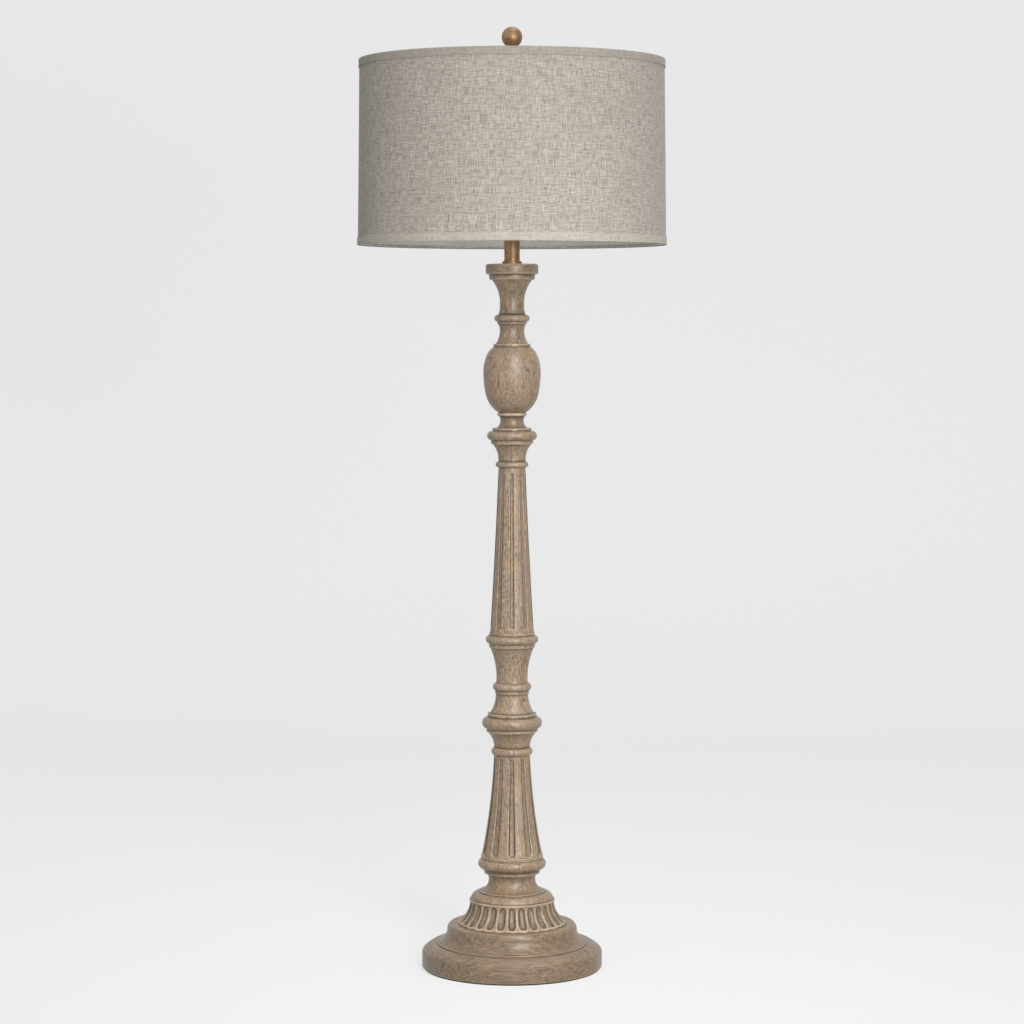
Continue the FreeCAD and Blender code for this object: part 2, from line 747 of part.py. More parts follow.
cap = Outline(bore).step(S.cap_step_edge_radius).arrive_upright(S.cap_step_radius, S.cap_step_edge_height)
cap.rise(S.cap_step_height)
cap.step(S.cap_edge_radius).arrive_upright(S.cap_radius, S.cap_edge_height).rise(S.cap_band_height)
cap.leave_upright(S.cap_top_radius, S.cap_top_height)
column_cap, column_top = turned_piece("column_cap", column_top, cap)


# ---------------------------------------------------------------- neck tube, saddle and pipe

disc("check_ring", column_top, S.check_ring_radius, S.check_ring_height, bore)
tube_foot = column_top + S.check_ring_height
tube_bore = S.neck_tube_radius - S.neck_tube_wall
disc("neck_tube", tube_foot, S.neck_tube_radius, S.neck_tube_length, tube_bore)

saddle_foot = tube_foot + S.neck_tube_length
shelf_inner = S.harp_leg_spread - S.saddle_shelf_half_length
shelf_outer = S.harp_leg_spread + S.saddle_shelf_half_length
raised = S.saddle_rise + S.saddle_thickness
strip = Outline(S.saddle_flat_half_length).to(shelf_inner, S.saddle_rise).to(shelf_outer, S.saddle_rise)
strip.to(shelf_outer, raised).to(shelf_inner, raised).to(S.saddle_flat_half_length, S.saddle_thickness)
strip.to(-S.saddle_flat_half_length, S.saddle_thickness).to(-shelf_inner, raised).to(-shelf_outer, raised)
strip.to(-shelf_outer, S.saddle_rise).to(-shelf_inner, S.saddle_rise).to(-S.saddle_flat_half_length, FLOOR)
harp_saddle = body("harp_saddle", saddle_foot)
saddle_strip = harp_saddle.newObject("PartDesign::Pad", "Strip")
saddle_strip.Profile = strip.draw(harp_saddle, "StripOutline")
saddle_strip.SideType = "Symmetric"
saddle_strip.setExpression("Length", S.saddle_width.text)
add(harp_saddle, "SubtractiveCylinder", "PipeHole", Radius=bore, Height=S.saddle_thickness)
rivet_hole = {"Radius": S.harp_wire_radius + S.harp_clearance, "Height": S.saddle_thickness}
for side, spread in (("right", S.harp_leg_spread), ("left", -S.harp_leg_spread)):
    add(harp_saddle, "SubtractiveCylinder", f"RivetHole_{side}", offset=S.saddle_rise, across=spread, **rivet_hole)
    post = body(f"harp_post_{side}", saddle_foot + S.saddle_rise, spread)
    add(post, "AdditiveCylinder", "Post", Radius=S.harp_wire_radius, Height=S.saddle_thickness + S.peg_height)

cap_foot = saddle_foot + S.saddle_thickness
pipe_foot = nut_foot - S.pipe_tail
pipe_length = cap_foot + S.pipe_thread_above_saddle - pipe_foot
disc("lamp_pipe", pipe_foot, S.pipe_radius, pipe_length, S.pipe_bore_radius)


# ---------------------------------------------------------------- socket, switch and bulb

cup_inside = S.cap_cup_radius - S.socket_wall
cup = Outline(thread_bore).step(S.cap_cup_foot_radius).arrive_upright(S.cap_cup_radius, S.cap_bowl_height)
cup.to(S.cap_cup_radius, S.cap_cup_height).step(cup_inside).to(cup_inside, S.cap_bowl_height)
cup.to(S.cap_cup_foot_radius - S.socket_wall, S.socket_wall, ("upright start",))
cup.step(S.cap_collar_radius).to(S.cap_collar_radius, S.cap_collar_height)
turned_piece("socket_cap", cap_foot, cup)

socket_foot = cap_foot + S.cap_cup_height - S.shell_overlap
shell_radius = cup_inside - S.shell_clearance
shell_inside = shell_radius - S.socket_wall
sleeve_radius = shell_inside - S.sleeve_clearance
sleeve_inside = sleeve_radius - S.sleeve_wall
socket_radius = sleeve_inside - S.sleeve_clearance
socket_shell = disc("socket_shell", socket_foot, shell_radius, S.shell_length, shell_inside)
socket_sleeve = disc("socket_sleeve", socket_foot, sleeve_radius, S.shell_length, sleeve_inside)
socket_body = disc("socket_body", socket_foot, socket_radius, S.socket_body_height)
stem_hole = {"Radius": S.switch_stem_radius + S.switch_clearance, "across": S.switch_height}
stem_foot = socket_radius - S.switch_stem_depth
for part in (socket_shell, socket_sleeve, socket_body):
    depth = shell_radius - stem_foot
    add(part, "SubtractiveCylinder", "StemHole", role="XZ_Plane", offset=stem_foot, Height=depth, **stem_hole)

switch_knob = body("switch_knob", socket_foot)
knob_foot = shell_radius + S.knob_stand_off
at_stem = {"role": "XZ_Plane", "across": S.switch_height}
stem = {"Radius": S.switch_stem_radius, "Height": knob_foot - stem_foot - S.switch_clearance}
add(switch_knob, "AdditiveCylinder", "Stem", offset=stem_foot + S.switch_clearance, **at_stem, **stem)
add(switch_knob, "AdditiveCylinder", "Collar", offset=knob_foot, Radius=S.knob_radius,
    Height=S.knob_collar_length, **at_stem)
paddle = add(switch_knob, "AdditiveBox", "Paddle", role="XZ_Plane", offset=knob_foot + S.knob_collar_length,
             across=S.switch_height - S.knob_radius, Length=S.paddle_thickness, Width=S.knob_radius * 2.0,
             Height=S.paddle_length)
paddle.setExpression("AttachmentOffset.Base.x", (S.paddle_thickness / -2.0).text)

contact_foot = socket_foot + S.socket_body_height
shell_bore = S.screw_shell_radius - S.screw_shell_wall
disc("screw_shell", contact_foot, S.screw_shell_radius, S.screw_shell_height, shell_bore)
disc("centre_contact", contact_foot, S.contact_radius, S.contact_height)

bulb_foot = contact_foot + S.contact_height
bulb_base_radius = shell_bore - S.bulb_thread_clearance
screw = Outline(FLOOR).step(S.bulb_tip_radius).rise(S.bulb_tip_height)
screw.slope(bulb_base_radius, S.bulb_cone_height).rise(S.bulb_base_length)
bulb_base, glass_foot = turned_piece("bulb_base", bulb_foot, screw)

crown = S.bulb_neck_height + S.bulb_flare_height + S.bulb_swell_height
glass = Outline(S.bulb_neck_radius - S.bulb_wall).step(S.bulb_neck_radius).rise(S.bulb_neck_height)
glass.leave_upright(S.bulb_flare_radius, S.bulb_flare_height)
glass.arrive_upright(S.bulb_radius, S.bulb_swell_height).leave_upright(FLOOR, S.bulb_radius)
glass.to(FLOOR, crown + S.bulb_radius - S.bulb_wall)
glass.to(S.bulb_radius - S.bulb_wall, crown, ("upright end",))
glass.to(S.bulb_flare_radius - S.bulb_wall, crown - S.bulb_swell_height, ("upright start",))
glass.to(S.bulb_neck_radius - S.bulb_wall, S.bulb_neck_height, ("upright end",))
turn(body("bulb_glass", glass_foot), glass)


# ---------------------------------------------------------------- harp

def bent_wire(part, corners, bends, wire_radius):
    """A round wire from the floor of its sketch through straight runs and tangent bends."""
    path = part.newObject("Sketcher::SketchObject", "WirePath")
    attach(path, part, "XZ_Plane")
    nodes = [flat(corner) for corner in corners]
    stops = [nodes[0]]
    arcs = []
    for before, at, after, bend in zip(nodes, nodes[1:], nodes[2:], bends):
        back = (before - at).normalize()
        on = (after - at).normalize()
        half_turn = (math.pi - back.getAngle(on)) / 2
        reach = bend.value * math.tan(half_turn)
        inner = at + (back + on).normalize() * (bend.value / math.cos(half_turn) - bend.value)
        arcs.append(Part.Arc(at + back * reach, inner, at + on * reach))
        stops += [at + back * reach, at + on * reach]
    stops.append(nodes[-1])
    runs = [path.addGeometry(Part.LineSegment(a, b), False) for a, b in zip(stops[::2], stops[1::2])]
    for index, (arc, bend) in enumerate(zip(arcs, bends)):
        curve = path.addGeometry(arc, False)
        start = 1 if (path.getPoint(curve, 1) - stops[2 * index + 1]).Length < 1e-6 else 2
        path.addConstraint(Sketcher.Constraint("Tangent", runs[index], 2, curve, start))
        path.addConstraint(Sketcher.Constraint("Tangent", runs[index + 1], 1, curve, 3 - start))
        bind(path, Sketcher.Constraint("Radius", curve, bend.value), bend)
    bind_point(path, runs[0], 1, *corners[0])
    bind_point(path, runs[-1], 2, *corners[-1])
    for index, corner in enumerate(corners[1:-1]):
        mark = path.addGeometry(Part.Point(flat(corner)), True)
        bind_point(path, mark, 1, *corner)
        path.addConstraint(Sketcher.Constraint("PointOnObject", mark, 1, runs[index]))
        path.addConstraint(Sketcher.Constraint("PointOnObject", mark, 1, runs[index + 1]))
    section = part.newObject("Sketcher::SketchObject", "WireSection")
    attach(section, part, "XY_Plane")
    normal = FreeCAD.Vector(0, 0, 1)
    circle = section.addGeometry(Part.Circle(nodes[0], normal, wire_radius.value), False)
    bind_point(section, circle, 3, corners[0][0], FLOOR)
    bind(section, Sketcher.Constraint("Radius", circle, wire_radius.value), wire_radius)
    wire = part.newObject("PartDesign::AdditivePipe", "Wire")
    wire.Profile = section
    wire.Spine = path
    return wire


leg_foot = saddle_foot + raised + S.peg_height
harp_bow = body("harp_bow", leg_foot)
harp_corners = [
    (S.harp_leg_spread, FLOOR),
    (S.harp_leg_spread, S.harp_leg_height),
    (S.harp_side_spread, S.harp_side_height),
    (S.harp_shoulder_spread, S.harp_height),
    (FLOOR, S.harp_height),
]
harp_bends = [S.harp_leg_bend, S.harp_side_bend, S.harp_shoulder_bend]
half_harp = bent_wire(harp_bow, harp_corners, harp_bends, S.harp_wire_radius)
other_half = harp_bow.newObject("PartDesign::Mirrored", "OtherHalf")
other_half.Originals = [half_harp]
other_half.MirrorPlane = (origin_feature(harp_bow, "YZ_Plane"), [""])
harp_bow.Tip = other_half

ferrule_bore = S.harp_wire_radius + S.ferrule_clearance
for name, spread in (("harp_ferrule_right", S.harp_leg_spread), ("harp_ferrule_left", -S.harp_leg_spread)):
    ferrule = body(name, saddle_foot + raised + S.ferrule_seat_clearance, spread)
    ferrule_radius = ferrule_bore + S.ferrule_wall
    add(ferrule, "AdditiveCylinder", "Barrel", Radius=ferrule_radius, Height=S.ferrule_length)
    add(ferrule, "SubtractiveCylinder", "Bore", Radius=ferrule_bore, Height=S.ferrule_length)

# The threaded stud is crimped on the wire by a round block, and the shade's hub rests on that.
block_foot = leg_foot + S.harp_height - S.stud_block_height / 2.0
hub_foot = block_foot + S.stud_block_height
harp_stud = disc("harp_stud", block_foot, S.stud_block_radius, S.stud_block_height)
stud_height = S.hub_thickness + S.stud_reach
add(harp_stud, "AdditiveCylinder", "Thread", offset=S.stud_block_height, Radius=S.stud_radius, Height=stud_height)
wire_hole = {"Radius": S.harp_wire_radius + S.harp_clearance, "Height": S.stud_block_radius * 2.0}
add(harp_stud, "SubtractiveCylinder", "WireHole", role="YZ_Plane", offset=-S.stud_block_radius,
    across=S.stud_block_height / 2.0, **wire_hole)


# ---------------------------------------------------------------- shade

disc("spider_hub", hub_foot, S.hub_radius, S.hub_thickness, S.stud_radius + S.stud_clearance)
hub_middle = hub_foot + S.hub_thickness / 2.0
shade_foot = hub_middle + S.ring_inset - S.shade_height


def shade_radius(up):
    """The outer radius of the linen at a height above the shade's lower edge."""
    return S.shade_bottom_radius + (S.shade_top_radius - S.shade_bottom_radius) * up / S.shade_height


inner_skin = S.linen_wall + S.liner_wall + S.ring_clearance
ring_depth = inner_skin + S.ring_clearance + S.ring_wire_radius
top_ring_radius = shade_radius(S.shade_height - S.ring_inset) - ring_depth
bottom_ring_radius = shade_radius(S.ring_inset) - ring_depth

for index in range(SIZES["arm_count"]):
    turn_angle = SIZES["first_arm_angle"] + 360 / SIZES["arm_count"] * index
    arm = body(f"spider_arm_{index + 1}", hub_middle, angle=turn_angle)
    reach = top_ring_radius - S.ring_wire_radius - S.hub_radius
    add(arm, "AdditiveCylinder", "Wire", role="YZ_Plane", offset=S.hub_radius, Radius=S.arm_radius, Height=reach)

ring_heights = {"shade_top_ring": hub_middle, "shade_bottom_ring": shade_foot + S.ring_inset}
for name, ring_radius in (("shade_top_ring", top_ring_radius), ("shade_bottom_ring", bottom_ring_radius)):
    ring = body(name, ring_heights[name])
    add(ring, "AdditiveTorus", "Wire", Radius1=ring_radius, Radius2=S.ring_wire_radius)


def shade_wall(name, outside, thickness):
    """A thin slanting wall of the shade, from hem to hem, at a depth inside the linen's face."""
    foot = S.hem_wall
    top = S.shade_height - S.hem_wall
    wall = Outline(shade_radius(foot) - outside - thickness, foot).step(shade_radius(foot) - outside)
    wall.to(shade_radius(top) - outside, top).step(shade_radius(top) - outside - thickness)
    turn(body(name, shade_foot), wall)


def shade_hem(name, edge, seam, turn_in):
    """A folded hem: a band outside the linen, and a lip over the edge of both walls."""
    cuff = Outline(shade_radius(edge) - inner_skin, edge).step(shade_radius(edge) + S.hem_wall)
    cuff.to(shade_radius(seam) + S.hem_wall, seam).step(shade_radius(seam) + S.hem_clearance)
    cuff.to(shade_radius(turn_in) + S.hem_clearance, turn_in).step(shade_radius(edge) - inner_skin)
    turn(body(name, shade_foot), cuff)


shade_wall("shade_liner", S.linen_wall + S.ring_clearance, S.liner_wall)
shade_wall("linen_cover", FLOOR, S.linen_wall)
shade_hem("bottom_hem", FLOOR, S.hem_height, S.hem_wall)
shade_hem("top_hem", S.shade_height, S.shade_height - S.hem_height, S.shade_height - S.hem_wall)


# ---------------------------------------------------------------- finial

stud_bore = S.stud_radius + S.thread_clearance
ball_drop = (S.ball_radius * S.ball_radius - S.finial_stem_radius * S.finial_stem_radius).root()
ball = Outline(stud_bore).step(S.finial_foot_radius).rise(S.finial_foot_height)
ball.step(S.finial_cove_radius).arrive_upright(S.finial_neck_radius, S.finial_cove_height)
fillet(ball, S.finial_disc_radius, S.finial_disc_height)
fillet(ball, S.finial_stem_radius, S.finial_stem_height)
ball.arrive_upright(S.ball_radius, ball_drop).leave_upright(FLOOR, S.ball_radius)
ball.to(FLOOR, S.finial_bore_depth).step(stud_bore)
turn(body("finial", hub_foot + S.hub_thickness + S.finial_seat_clearance), ball)


# ---------------------------------------------------------------- check and write

doc.recompute()
faults = [thing.Name for thing in doc.Objects if "Invalid" in thing.State or "Error" in thing.State]
for part in parts:
    if part.Shape.isNull() or not part.Shape.isValid() or part.Shape.Volume <= 0:
        faults.append(part.Label)
if faults:
    raise SystemExit(f"not sound: {faults}")

os.makedirs("parts", exist_ok=True)
for part in parts:
    part.Shape.exportStep(f"parts/{part.Label}.step")
    box = part.Shape.optimalBoundingBox(False, False)
    print(f"{part.Label:20s} z {box.ZMin:8.1f} to {box.ZMax:8.1f}  {len(part.Shape.Solids)} solid")
print(f"{len(parts)} pieces")
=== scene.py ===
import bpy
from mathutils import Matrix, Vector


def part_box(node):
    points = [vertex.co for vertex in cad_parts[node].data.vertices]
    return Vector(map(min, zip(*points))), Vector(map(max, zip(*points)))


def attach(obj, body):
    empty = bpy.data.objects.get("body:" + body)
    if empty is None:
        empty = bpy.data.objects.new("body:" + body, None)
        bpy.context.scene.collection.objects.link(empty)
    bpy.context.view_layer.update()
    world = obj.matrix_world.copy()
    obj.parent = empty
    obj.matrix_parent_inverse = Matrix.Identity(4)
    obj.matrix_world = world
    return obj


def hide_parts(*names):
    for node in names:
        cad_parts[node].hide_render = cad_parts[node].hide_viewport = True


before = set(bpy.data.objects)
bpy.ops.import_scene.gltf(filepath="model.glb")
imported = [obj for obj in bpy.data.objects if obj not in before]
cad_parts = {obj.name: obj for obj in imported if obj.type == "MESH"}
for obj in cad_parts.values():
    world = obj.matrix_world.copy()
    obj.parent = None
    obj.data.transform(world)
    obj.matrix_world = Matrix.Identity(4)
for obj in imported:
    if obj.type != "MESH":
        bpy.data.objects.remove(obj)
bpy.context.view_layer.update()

# %% [markdown]
# # A candlestick floor lamp
# The lamp is a stack of turned wooden pieces over a round base, with a brass neck, a wide linen
# drum shade and a ball finial. The CAD model is loaded above: every node already has its true
# size and place. This script gives each visible piece a finer surface and a material, then sets
# the floor, the lights and the camera. Lengths in the tables are millimetres. Every mesh is in
# metres, and its object stays at the origin, as the objects of the CAD nodes do.

# %% Tools, and the box of the CAD model
import math

import bpy
import numpy as np
from mathutils import Vector

MM = 0.001

# %% [markdown]
# ## Colours
# A picture editor shows sRGB values, but light adds up on a linear scale, so each hex code is
# turned to linear light before a shader gets it. Any colour in this file can then be read and
# changed with a colour picker.


# %% Hex code to linear light
def linear(code):
    """Linear RGBA from "#rrggbb": c / 12.92 near black, else ((c + 0.055) / 1.055) ** 2.4."""
    channels = [int(code[i:i + 2], 16) / 255 for i in (1, 3, 5)]
    return [c / 12.92 if c < 0.04045 else ((c + 0.055) / 1.055) ** 2.4 for c in channels] + [1.0]


print("middle grey #808080 is", round(linear("#808080")[0], 3), "in linear light")

# %% [markdown]
# ## A material is a graph
# A procedural material is a graph of small nodes: patterns, arithmetic, colour mixes and at last
# a shader. One function adds any of them. A list fills a node's first inputs in order, and a
# dictionary fills inputs by name or number. A value that is another node's output is linked.


# %% Add a node
def add(owner, kind, inputs=(), out=0, **settings):
    """Add one shader node; returns its output of that name or number, or the node if it has none."""
    made = owner.node_tree.nodes.new("ShaderNode" + kind)
    for key, value in settings.items():
        setattr(made, key, value)
    for key, value in inputs.items() if isinstance(inputs, dict) else enumerate(inputs):
        if isinstance(value, bpy.types.NodeSocket):
            owner.node_tree.links.new(value, made.inputs[key])
        else:
            made.inputs[key].default_value = value
    return made.outputs[out] if len(made.outputs) else made


def new_material(name):
    """A material whose graph is still empty."""
    material = bpy.data.materials.new(name)
    material.use_nodes = True
    material.node_tree.nodes.clear()
    return material


print("materials so far:", len(bpy.data.materials))

# %% [markdown]
# ## Patterns, coats and the shader
# Grain, slubs and tarnish all start as smooth noise that is stretched along one direction. A
# colour is built as a finisher builds it, in coats: each covers what is under it by a share that
# a pattern gives. At the end a height pattern tilts the surface a little, which catches light as
# small relief does, and one Principled shader takes everything.


# %% Noise, coats and a finished surface
def noise(material, place, cells, detail=4.0, waviness=0.0):
    """Noise of 0 to 1; cells says how many fit into one unit of the coordinates on each axis."""
    mapped = add(material, "Mapping", {"Vector": place, "Scale": cells})
    return add(material, "TexNoise", {"Vector": mapped, "Scale": 1.0, "Detail": detail,
                                      "Roughness": 0.55, "Distortion": waviness})


def coats(material, ground, *layers):
    """Lay coats of (share, code) on a ground: each gives under * (1 - share) + coat * share."""
    colour = linear(ground)
    for share, code in layers:
        colour = add(material, "Mix", {0: share, 6: colour, 7: linear(code)}, 2, data_type="RGBA")
    return colour


def surface(material, looks, height=None, depth=0.0):
    """Close the graph: relief of height * depth metres, the shader with its looks, the output."""
    if height is not None:
        looks["Normal"] = add(material, "Bump", {"Height": height, "Distance": depth,
                                                 "Strength": 0.6})
    add(material, "OutputMaterial", [add(material, "BsdfPrincipled", looks)])
    return material


print("a cell of 250 to the metre is", 1000 / 250, "mm wide")

# %% [markdown]
# ## Weathered oak
# The turned pieces have a dry taupe finish: oak that was stained, glazed, rubbed back and left
# nearly matt. Four noises make it. Streaks 4 mm wide run with the grain. Pores are drawn 1 mm
# wide and 7 mm long, coarser than real ones, which wouldn't show from across a room. Patches of
# 33 mm drift to golden brown and tints of 23 mm to pinkish brown, both longer with the grain.
#
# Each turned piece carries an attribute called wear_and_shade, positive on raised edges and
# negative in recesses. Edges are rubbed pale, partly real wear and partly a painted highlight,
# and recesses keep a dark glaze, partly real and partly painted shade. The column's grain runs
# up it, and that of the base and the cap runs across, so the grain has an axis.


# %% Weathered oak in three cuts
def weathered_wood(name, along, length, waviness, tone):
    """Oak, streaks length mm long on an axis; tone is the share of a dark coat of painted shade."""
    material = new_material(name)
    place = add(material, "TexCoord", out="Object")

    def grain(across, lengthwise, detail, waviness=0.0):
        """Noise with so many cells to the metre across the grain and along it."""
        cells = [across, across, across]
        cells["XYZ".index(along)] = lengthwise
        return noise(material, place, cells, detail, waviness)

    streaks = grain(250.0, 1000.0 / length, 5.0, waviness)
    pores = grain(1000.0, 140.0, 3.0, 0.8)
    patches = grain(30.0, 16.0, 3.0)
    tints = grain(44.0, 20.0, 2.0)
    pale = add(material, "MapRange", [streaks, 0.34, 0.66])
    golden = add(material, "MapRange", [patches, 0.50, 0.72, 0.0, 0.50])
    rosy = add(material, "MapRange", [tints, 0.50, 0.72, 0.0, 0.50])
    open_pores = add(material, "MapRange", [pores, 0.30, 0.47, 0.45, 0.0])

    # Rubbing with a painted highlight and glazing with painted shade follow wear_and_shade,
    # and both come and go with the larger patterns.
    wear_and_shade = add(material, "Attribute", out="Fac", attribute_name="wear_and_shade")
    raised = add(material, "MapRange", [wear_and_shade, 0.38, 0.90, 0.0, 0.85])
    often_touched = add(material, "MapRange", [patches, 0.35, 0.60, 0.35, 1.0])
    rubbed_and_highlit = add(material, "Math", [raised, often_touched], operation="MULTIPLY")
    recessed = add(material, "MapRange", [wear_and_shade, -0.07, -0.50, 0.0, 0.92])
    thick = add(material, "MapRange", [tints, 0.30, 0.60, 0.75, 1.0])
    glaze_and_shade = add(material, "Math", [recessed, thick], operation="MULTIPLY")
    # The rubbed coat is partly a painted highlight, and the glaze coat partly painted shade.
    colour = coats(material, "#604c37", (pale, "#b19d84"), (golden, "#a78559"), (rosy, "#a08675"),
                   (open_pores, "#56432f"), (rubbed_and_highlit, "#cab89e"), (glaze_and_shade, "#3c2f22"),
                   (tone, "#54432f"))

    # The pale streaks are the harder, smoother wood. A thin coat of wax lies over it all.
    roughness = add(material, "MapRange", [streaks, 0.3, 0.7, 0.46, 0.36])
    shallow_pores = add(material, "Math", [pores, 0.5], operation="MULTIPLY")
    height = add(material, "Math", [streaks, shallow_pores], operation="ADD")
    looks = {"Base Color": colour, "Roughness": roughness, "Coat Weight": 0.18,
             "Coat Roughness": 0.30}
    return surface(material, looks, height, 0.4 * MM)


column_wood = weathered_wood("Weathered oak, grain up", "Z", 15.0, 2.2, 0.0)
# The base's oak gets a 0.42 share of the dark coat: painted shade over the whole base.
base_wood = weathered_wood("Weathered oak, grain across", "X", 34.0, 0.9, 0.42)
cap_wood = weathered_wood("Weathered oak, face turned", "X", 20.0, 1.6, 0.0)
print("oak graph:", len(column_wood.node_tree.nodes), "nodes")

# %% [markdown]
# ## Outlines
# A turned piece is drawn as a lathe worker would: from its foot up, one moulding after another.
# - `line` goes straight to a radius while rising.
# - `cup` starts upright and bends to the radius: a quarter of a circle or less.
# - `flare` ends upright at the radius.
# - `bow` is a shallow arc, hollowed by some millimetres (or swollen, if negative).
# - `bead` swells to a belly and returns to the same radius.
#
# All but the line are arcs of circles, so the first tool draws a circle through three points.


# %% An arc through three points
def arc_points(start, end, middle, count):
    """Points from start through middle to end, round the centre that is as far from all three."""
    (ax, ay), (bx, by), (cx, cy) = start, middle, end
    twice = 2 * (ax * (by - cy) + bx * (cy - ay) + cx * (ay - by))
    a2, b2, c2 = ax * ax + ay * ay, bx * bx + by * by, cx * cx + cy * cy
    centre = np.array([(a2 * (by - cy) + b2 * (cy - ay) + c2 * (ay - by)) / twice,
                       (a2 * (cx - bx) + b2 * (ax - cx) + c2 * (bx - ax)) / twice])
    angles = [math.atan2(p[1] - centre[1], p[0] - centre[0]) for p in (start, middle, end)]
    first, half, last = np.unwrap(angles)
    if abs(half - (first + last) / 2) > 0.5:
        last += 2 * math.pi * np.sign(half - (first + last) / 2)
    turn = np.linspace(first, last, count + 1)[1:]
    radius = math.hypot(ax - centre[0], ay - centre[1])
    return centre + radius * np.stack([np.cos(turn), np.sin(turn)], axis=1)


quarter = arc_points((10.0, 0.0), (0.0, 10.0), (math.sqrt(50), math.sqrt(50)), 3)
print("a quarter circle of 10 mm in three steps:", quarter.round(2).tolist())

# %% [markdown]
# ## One stretch of an outline
# Each stretch is sampled every quarter millimetre. A cup or a flare is the one circle that
# passes through both ends and stands upright at one of them. Its radius is the square of the
# chord over twice the chord's sideways part, and its centre lies level with the upright end.

# %% From a stretch to points
SAMPLE = 0.25


def stretch_points(kind, start, radius, rise, swell):
    """Sample one stretch from its start; a bow's middle lies swell mm inside the chord."""
    end = np.array([radius, start[1] + rise])
    chord = end - start
    length = max(np.linalg.norm(chord), 1e-9)
    count = max(2, int(length / SAMPLE))
    if kind == "line" or (kind == "bow" and swell == 0):
        return start + chord * np.linspace(0, 1, count + 1)[1:, None]
    if kind == "bow":
        outward = np.array([chord[1], -chord[0]]) / length
        return arc_points(start, end, start + chord / 2 - outward * swell, count)
    upright, other = (start, end) if kind == "cup" else (end, start)
    away = other - upright
    size = (chord @ chord) / (2 * abs(chord[0]))
    centre = upright + np.array([math.copysign(size, away[0]), 0])
    pointing = (upright - centre) / size + (other - centre) / size
    return arc_points(start, end, centre + pointing / np.linalg.norm(pointing) * size, count)


cup = stretch_points("cup", np.array([20.0, 0.0]), 30.0, 10.0, 0.0)
print("a cup from radius 20 to 30 passes", cup[len(cup) // 2].round(2).tolist())

# %% [markdown]
# ## Softened arrises, wear and painted shade
# The whole outline is blurred along its length by half a millimetre, which rounds its sharp
# edges, the arrises, as years of dusting do. A second, wider blur of 2.6 mm shows where the
# surface stands: what lies outside the wide blur is a raised edge, and what lies inside it is a
# recess. That distance in millimetres is wear_and_shade, which the oak and the brass read. On
# the oak it is real wear and glaze, with a painted highlight on raised edges and painted shade
# in recesses.

# %% Even spacing and blur
RELIEF_REACH = 2.6


def even_out(points, closed):
    """The same curve with its points a sample apart, by interpolation on the length so far."""
    track = np.concatenate([points, points[:1]]) if closed else points
    steps = np.linalg.norm(np.diff(track, axis=0), axis=1)
    along = np.concatenate([[0], np.cumsum(steps)])
    count = max(8, int(along[-1] / SAMPLE))
    wanted = np.linspace(0, along[-1], count, endpoint=not closed)
    return np.stack([np.interp(wanted, along, track[:, k]) for k in (0, 1)], axis=1)


def blurred(points, closed, width):
    """Gaussian blur along the curve: weight exp(-s * s / (2 * width * width)); ends stay put."""
    reach = max(1, int(3 * width / SAMPLE))
    weights = np.exp(-0.5 * (np.arange(-reach, reach + 1) * SAMPLE / width) ** 2)
    weights /= weights.sum()
    if closed:
        padded = np.concatenate([points[-reach:], points, points[:reach]])
    else:
        padded = np.concatenate([2 * points[0] - points[reach:0:-1], points,
                                 2 * points[-1] - points[-2:-reach - 2:-1]])
    return np.stack([np.convolve(padded[:, k], weights, "valid") for k in (0, 1)], axis=1)


square = even_out(np.array([[20.0, 0.0], [30.0, 0.0], [30.0, 10.0], [20.0, 10.0]]), True)
print("a 10 mm square has", len(square), "samples round it")

# %% [markdown]
# ## Points where the outline turns
# A straight wall needs few points and a bead many, so a point is kept for each 9 degrees of turn
# or each 3 mm, whichever comes first. The cost of a sample is its length over the step plus its
# turn over 9 degrees, and the points kept are those where the sum passes a whole number.

# %% Draw a whole outline
TURN_STEP = math.radians(9)


def thin_out(points, closed, blur, step):
    """Rows of (radius, height, wear), dense where the outline turns and sparse where straight."""
    smooth = blurred(points, closed, blur)
    local = blurred(points, closed, RELIEF_REACH)
    ahead = np.roll(smooth, -1, axis=0) - np.roll(smooth, 1, axis=0)
    if not closed:
        ahead[0], ahead[-1] = smooth[1] - smooth[0], smooth[-1] - smooth[-2]
    ahead /= np.maximum(np.linalg.norm(ahead, axis=1, keepdims=True), 1e-9)
    outward = np.stack([ahead[:, 1], -ahead[:, 0]], axis=1)
    wear_and_shade = ((smooth - local) * outward).sum(axis=1)
    angle = np.unwrap(np.arctan2(ahead[:, 1], ahead[:, 0]))
    cost = SAMPLE / step + np.abs(np.diff(angle)) / TURN_STEP
    along = np.concatenate([[0], np.cumsum(cost)])
    wanted = np.linspace(0, along[-1], max(12, int(along[-1])) + 1)
    if closed:
        wanted = wanted[:-1]
    columns = [np.interp(wanted, along, values) for values in (smooth[:, 0], smooth[:, 1], wear_and_shade)]
    return np.stack(columns, axis=1)


def draw_outline(stretches, start, closed=True, blur=0.5, step=3.0):
    """Join the stretches from a start in mm, close them if asked, then even, blur and thin."""
    points = [np.array([start])]
    for kind, *numbers in stretches:
        here = points[-1][-1]
        if kind == "bead":
            belly, rise = numbers
            kind, numbers = "bow", [here[0], rise, here[0] - belly]
        radius, rise, swell = (list(numbers) + [0, 0])[:3]
        points.append(stretch_points(kind, here, radius, rise, swell))
    points = np.concatenate(points)
    if closed:
        points = np.concatenate([points, stretch_points("line", points[-1], start[0],
                                                        start[1] - points[-1][1], 0)])[:-1]
    return thin_out(even_out(points, closed), closed, blur, step)


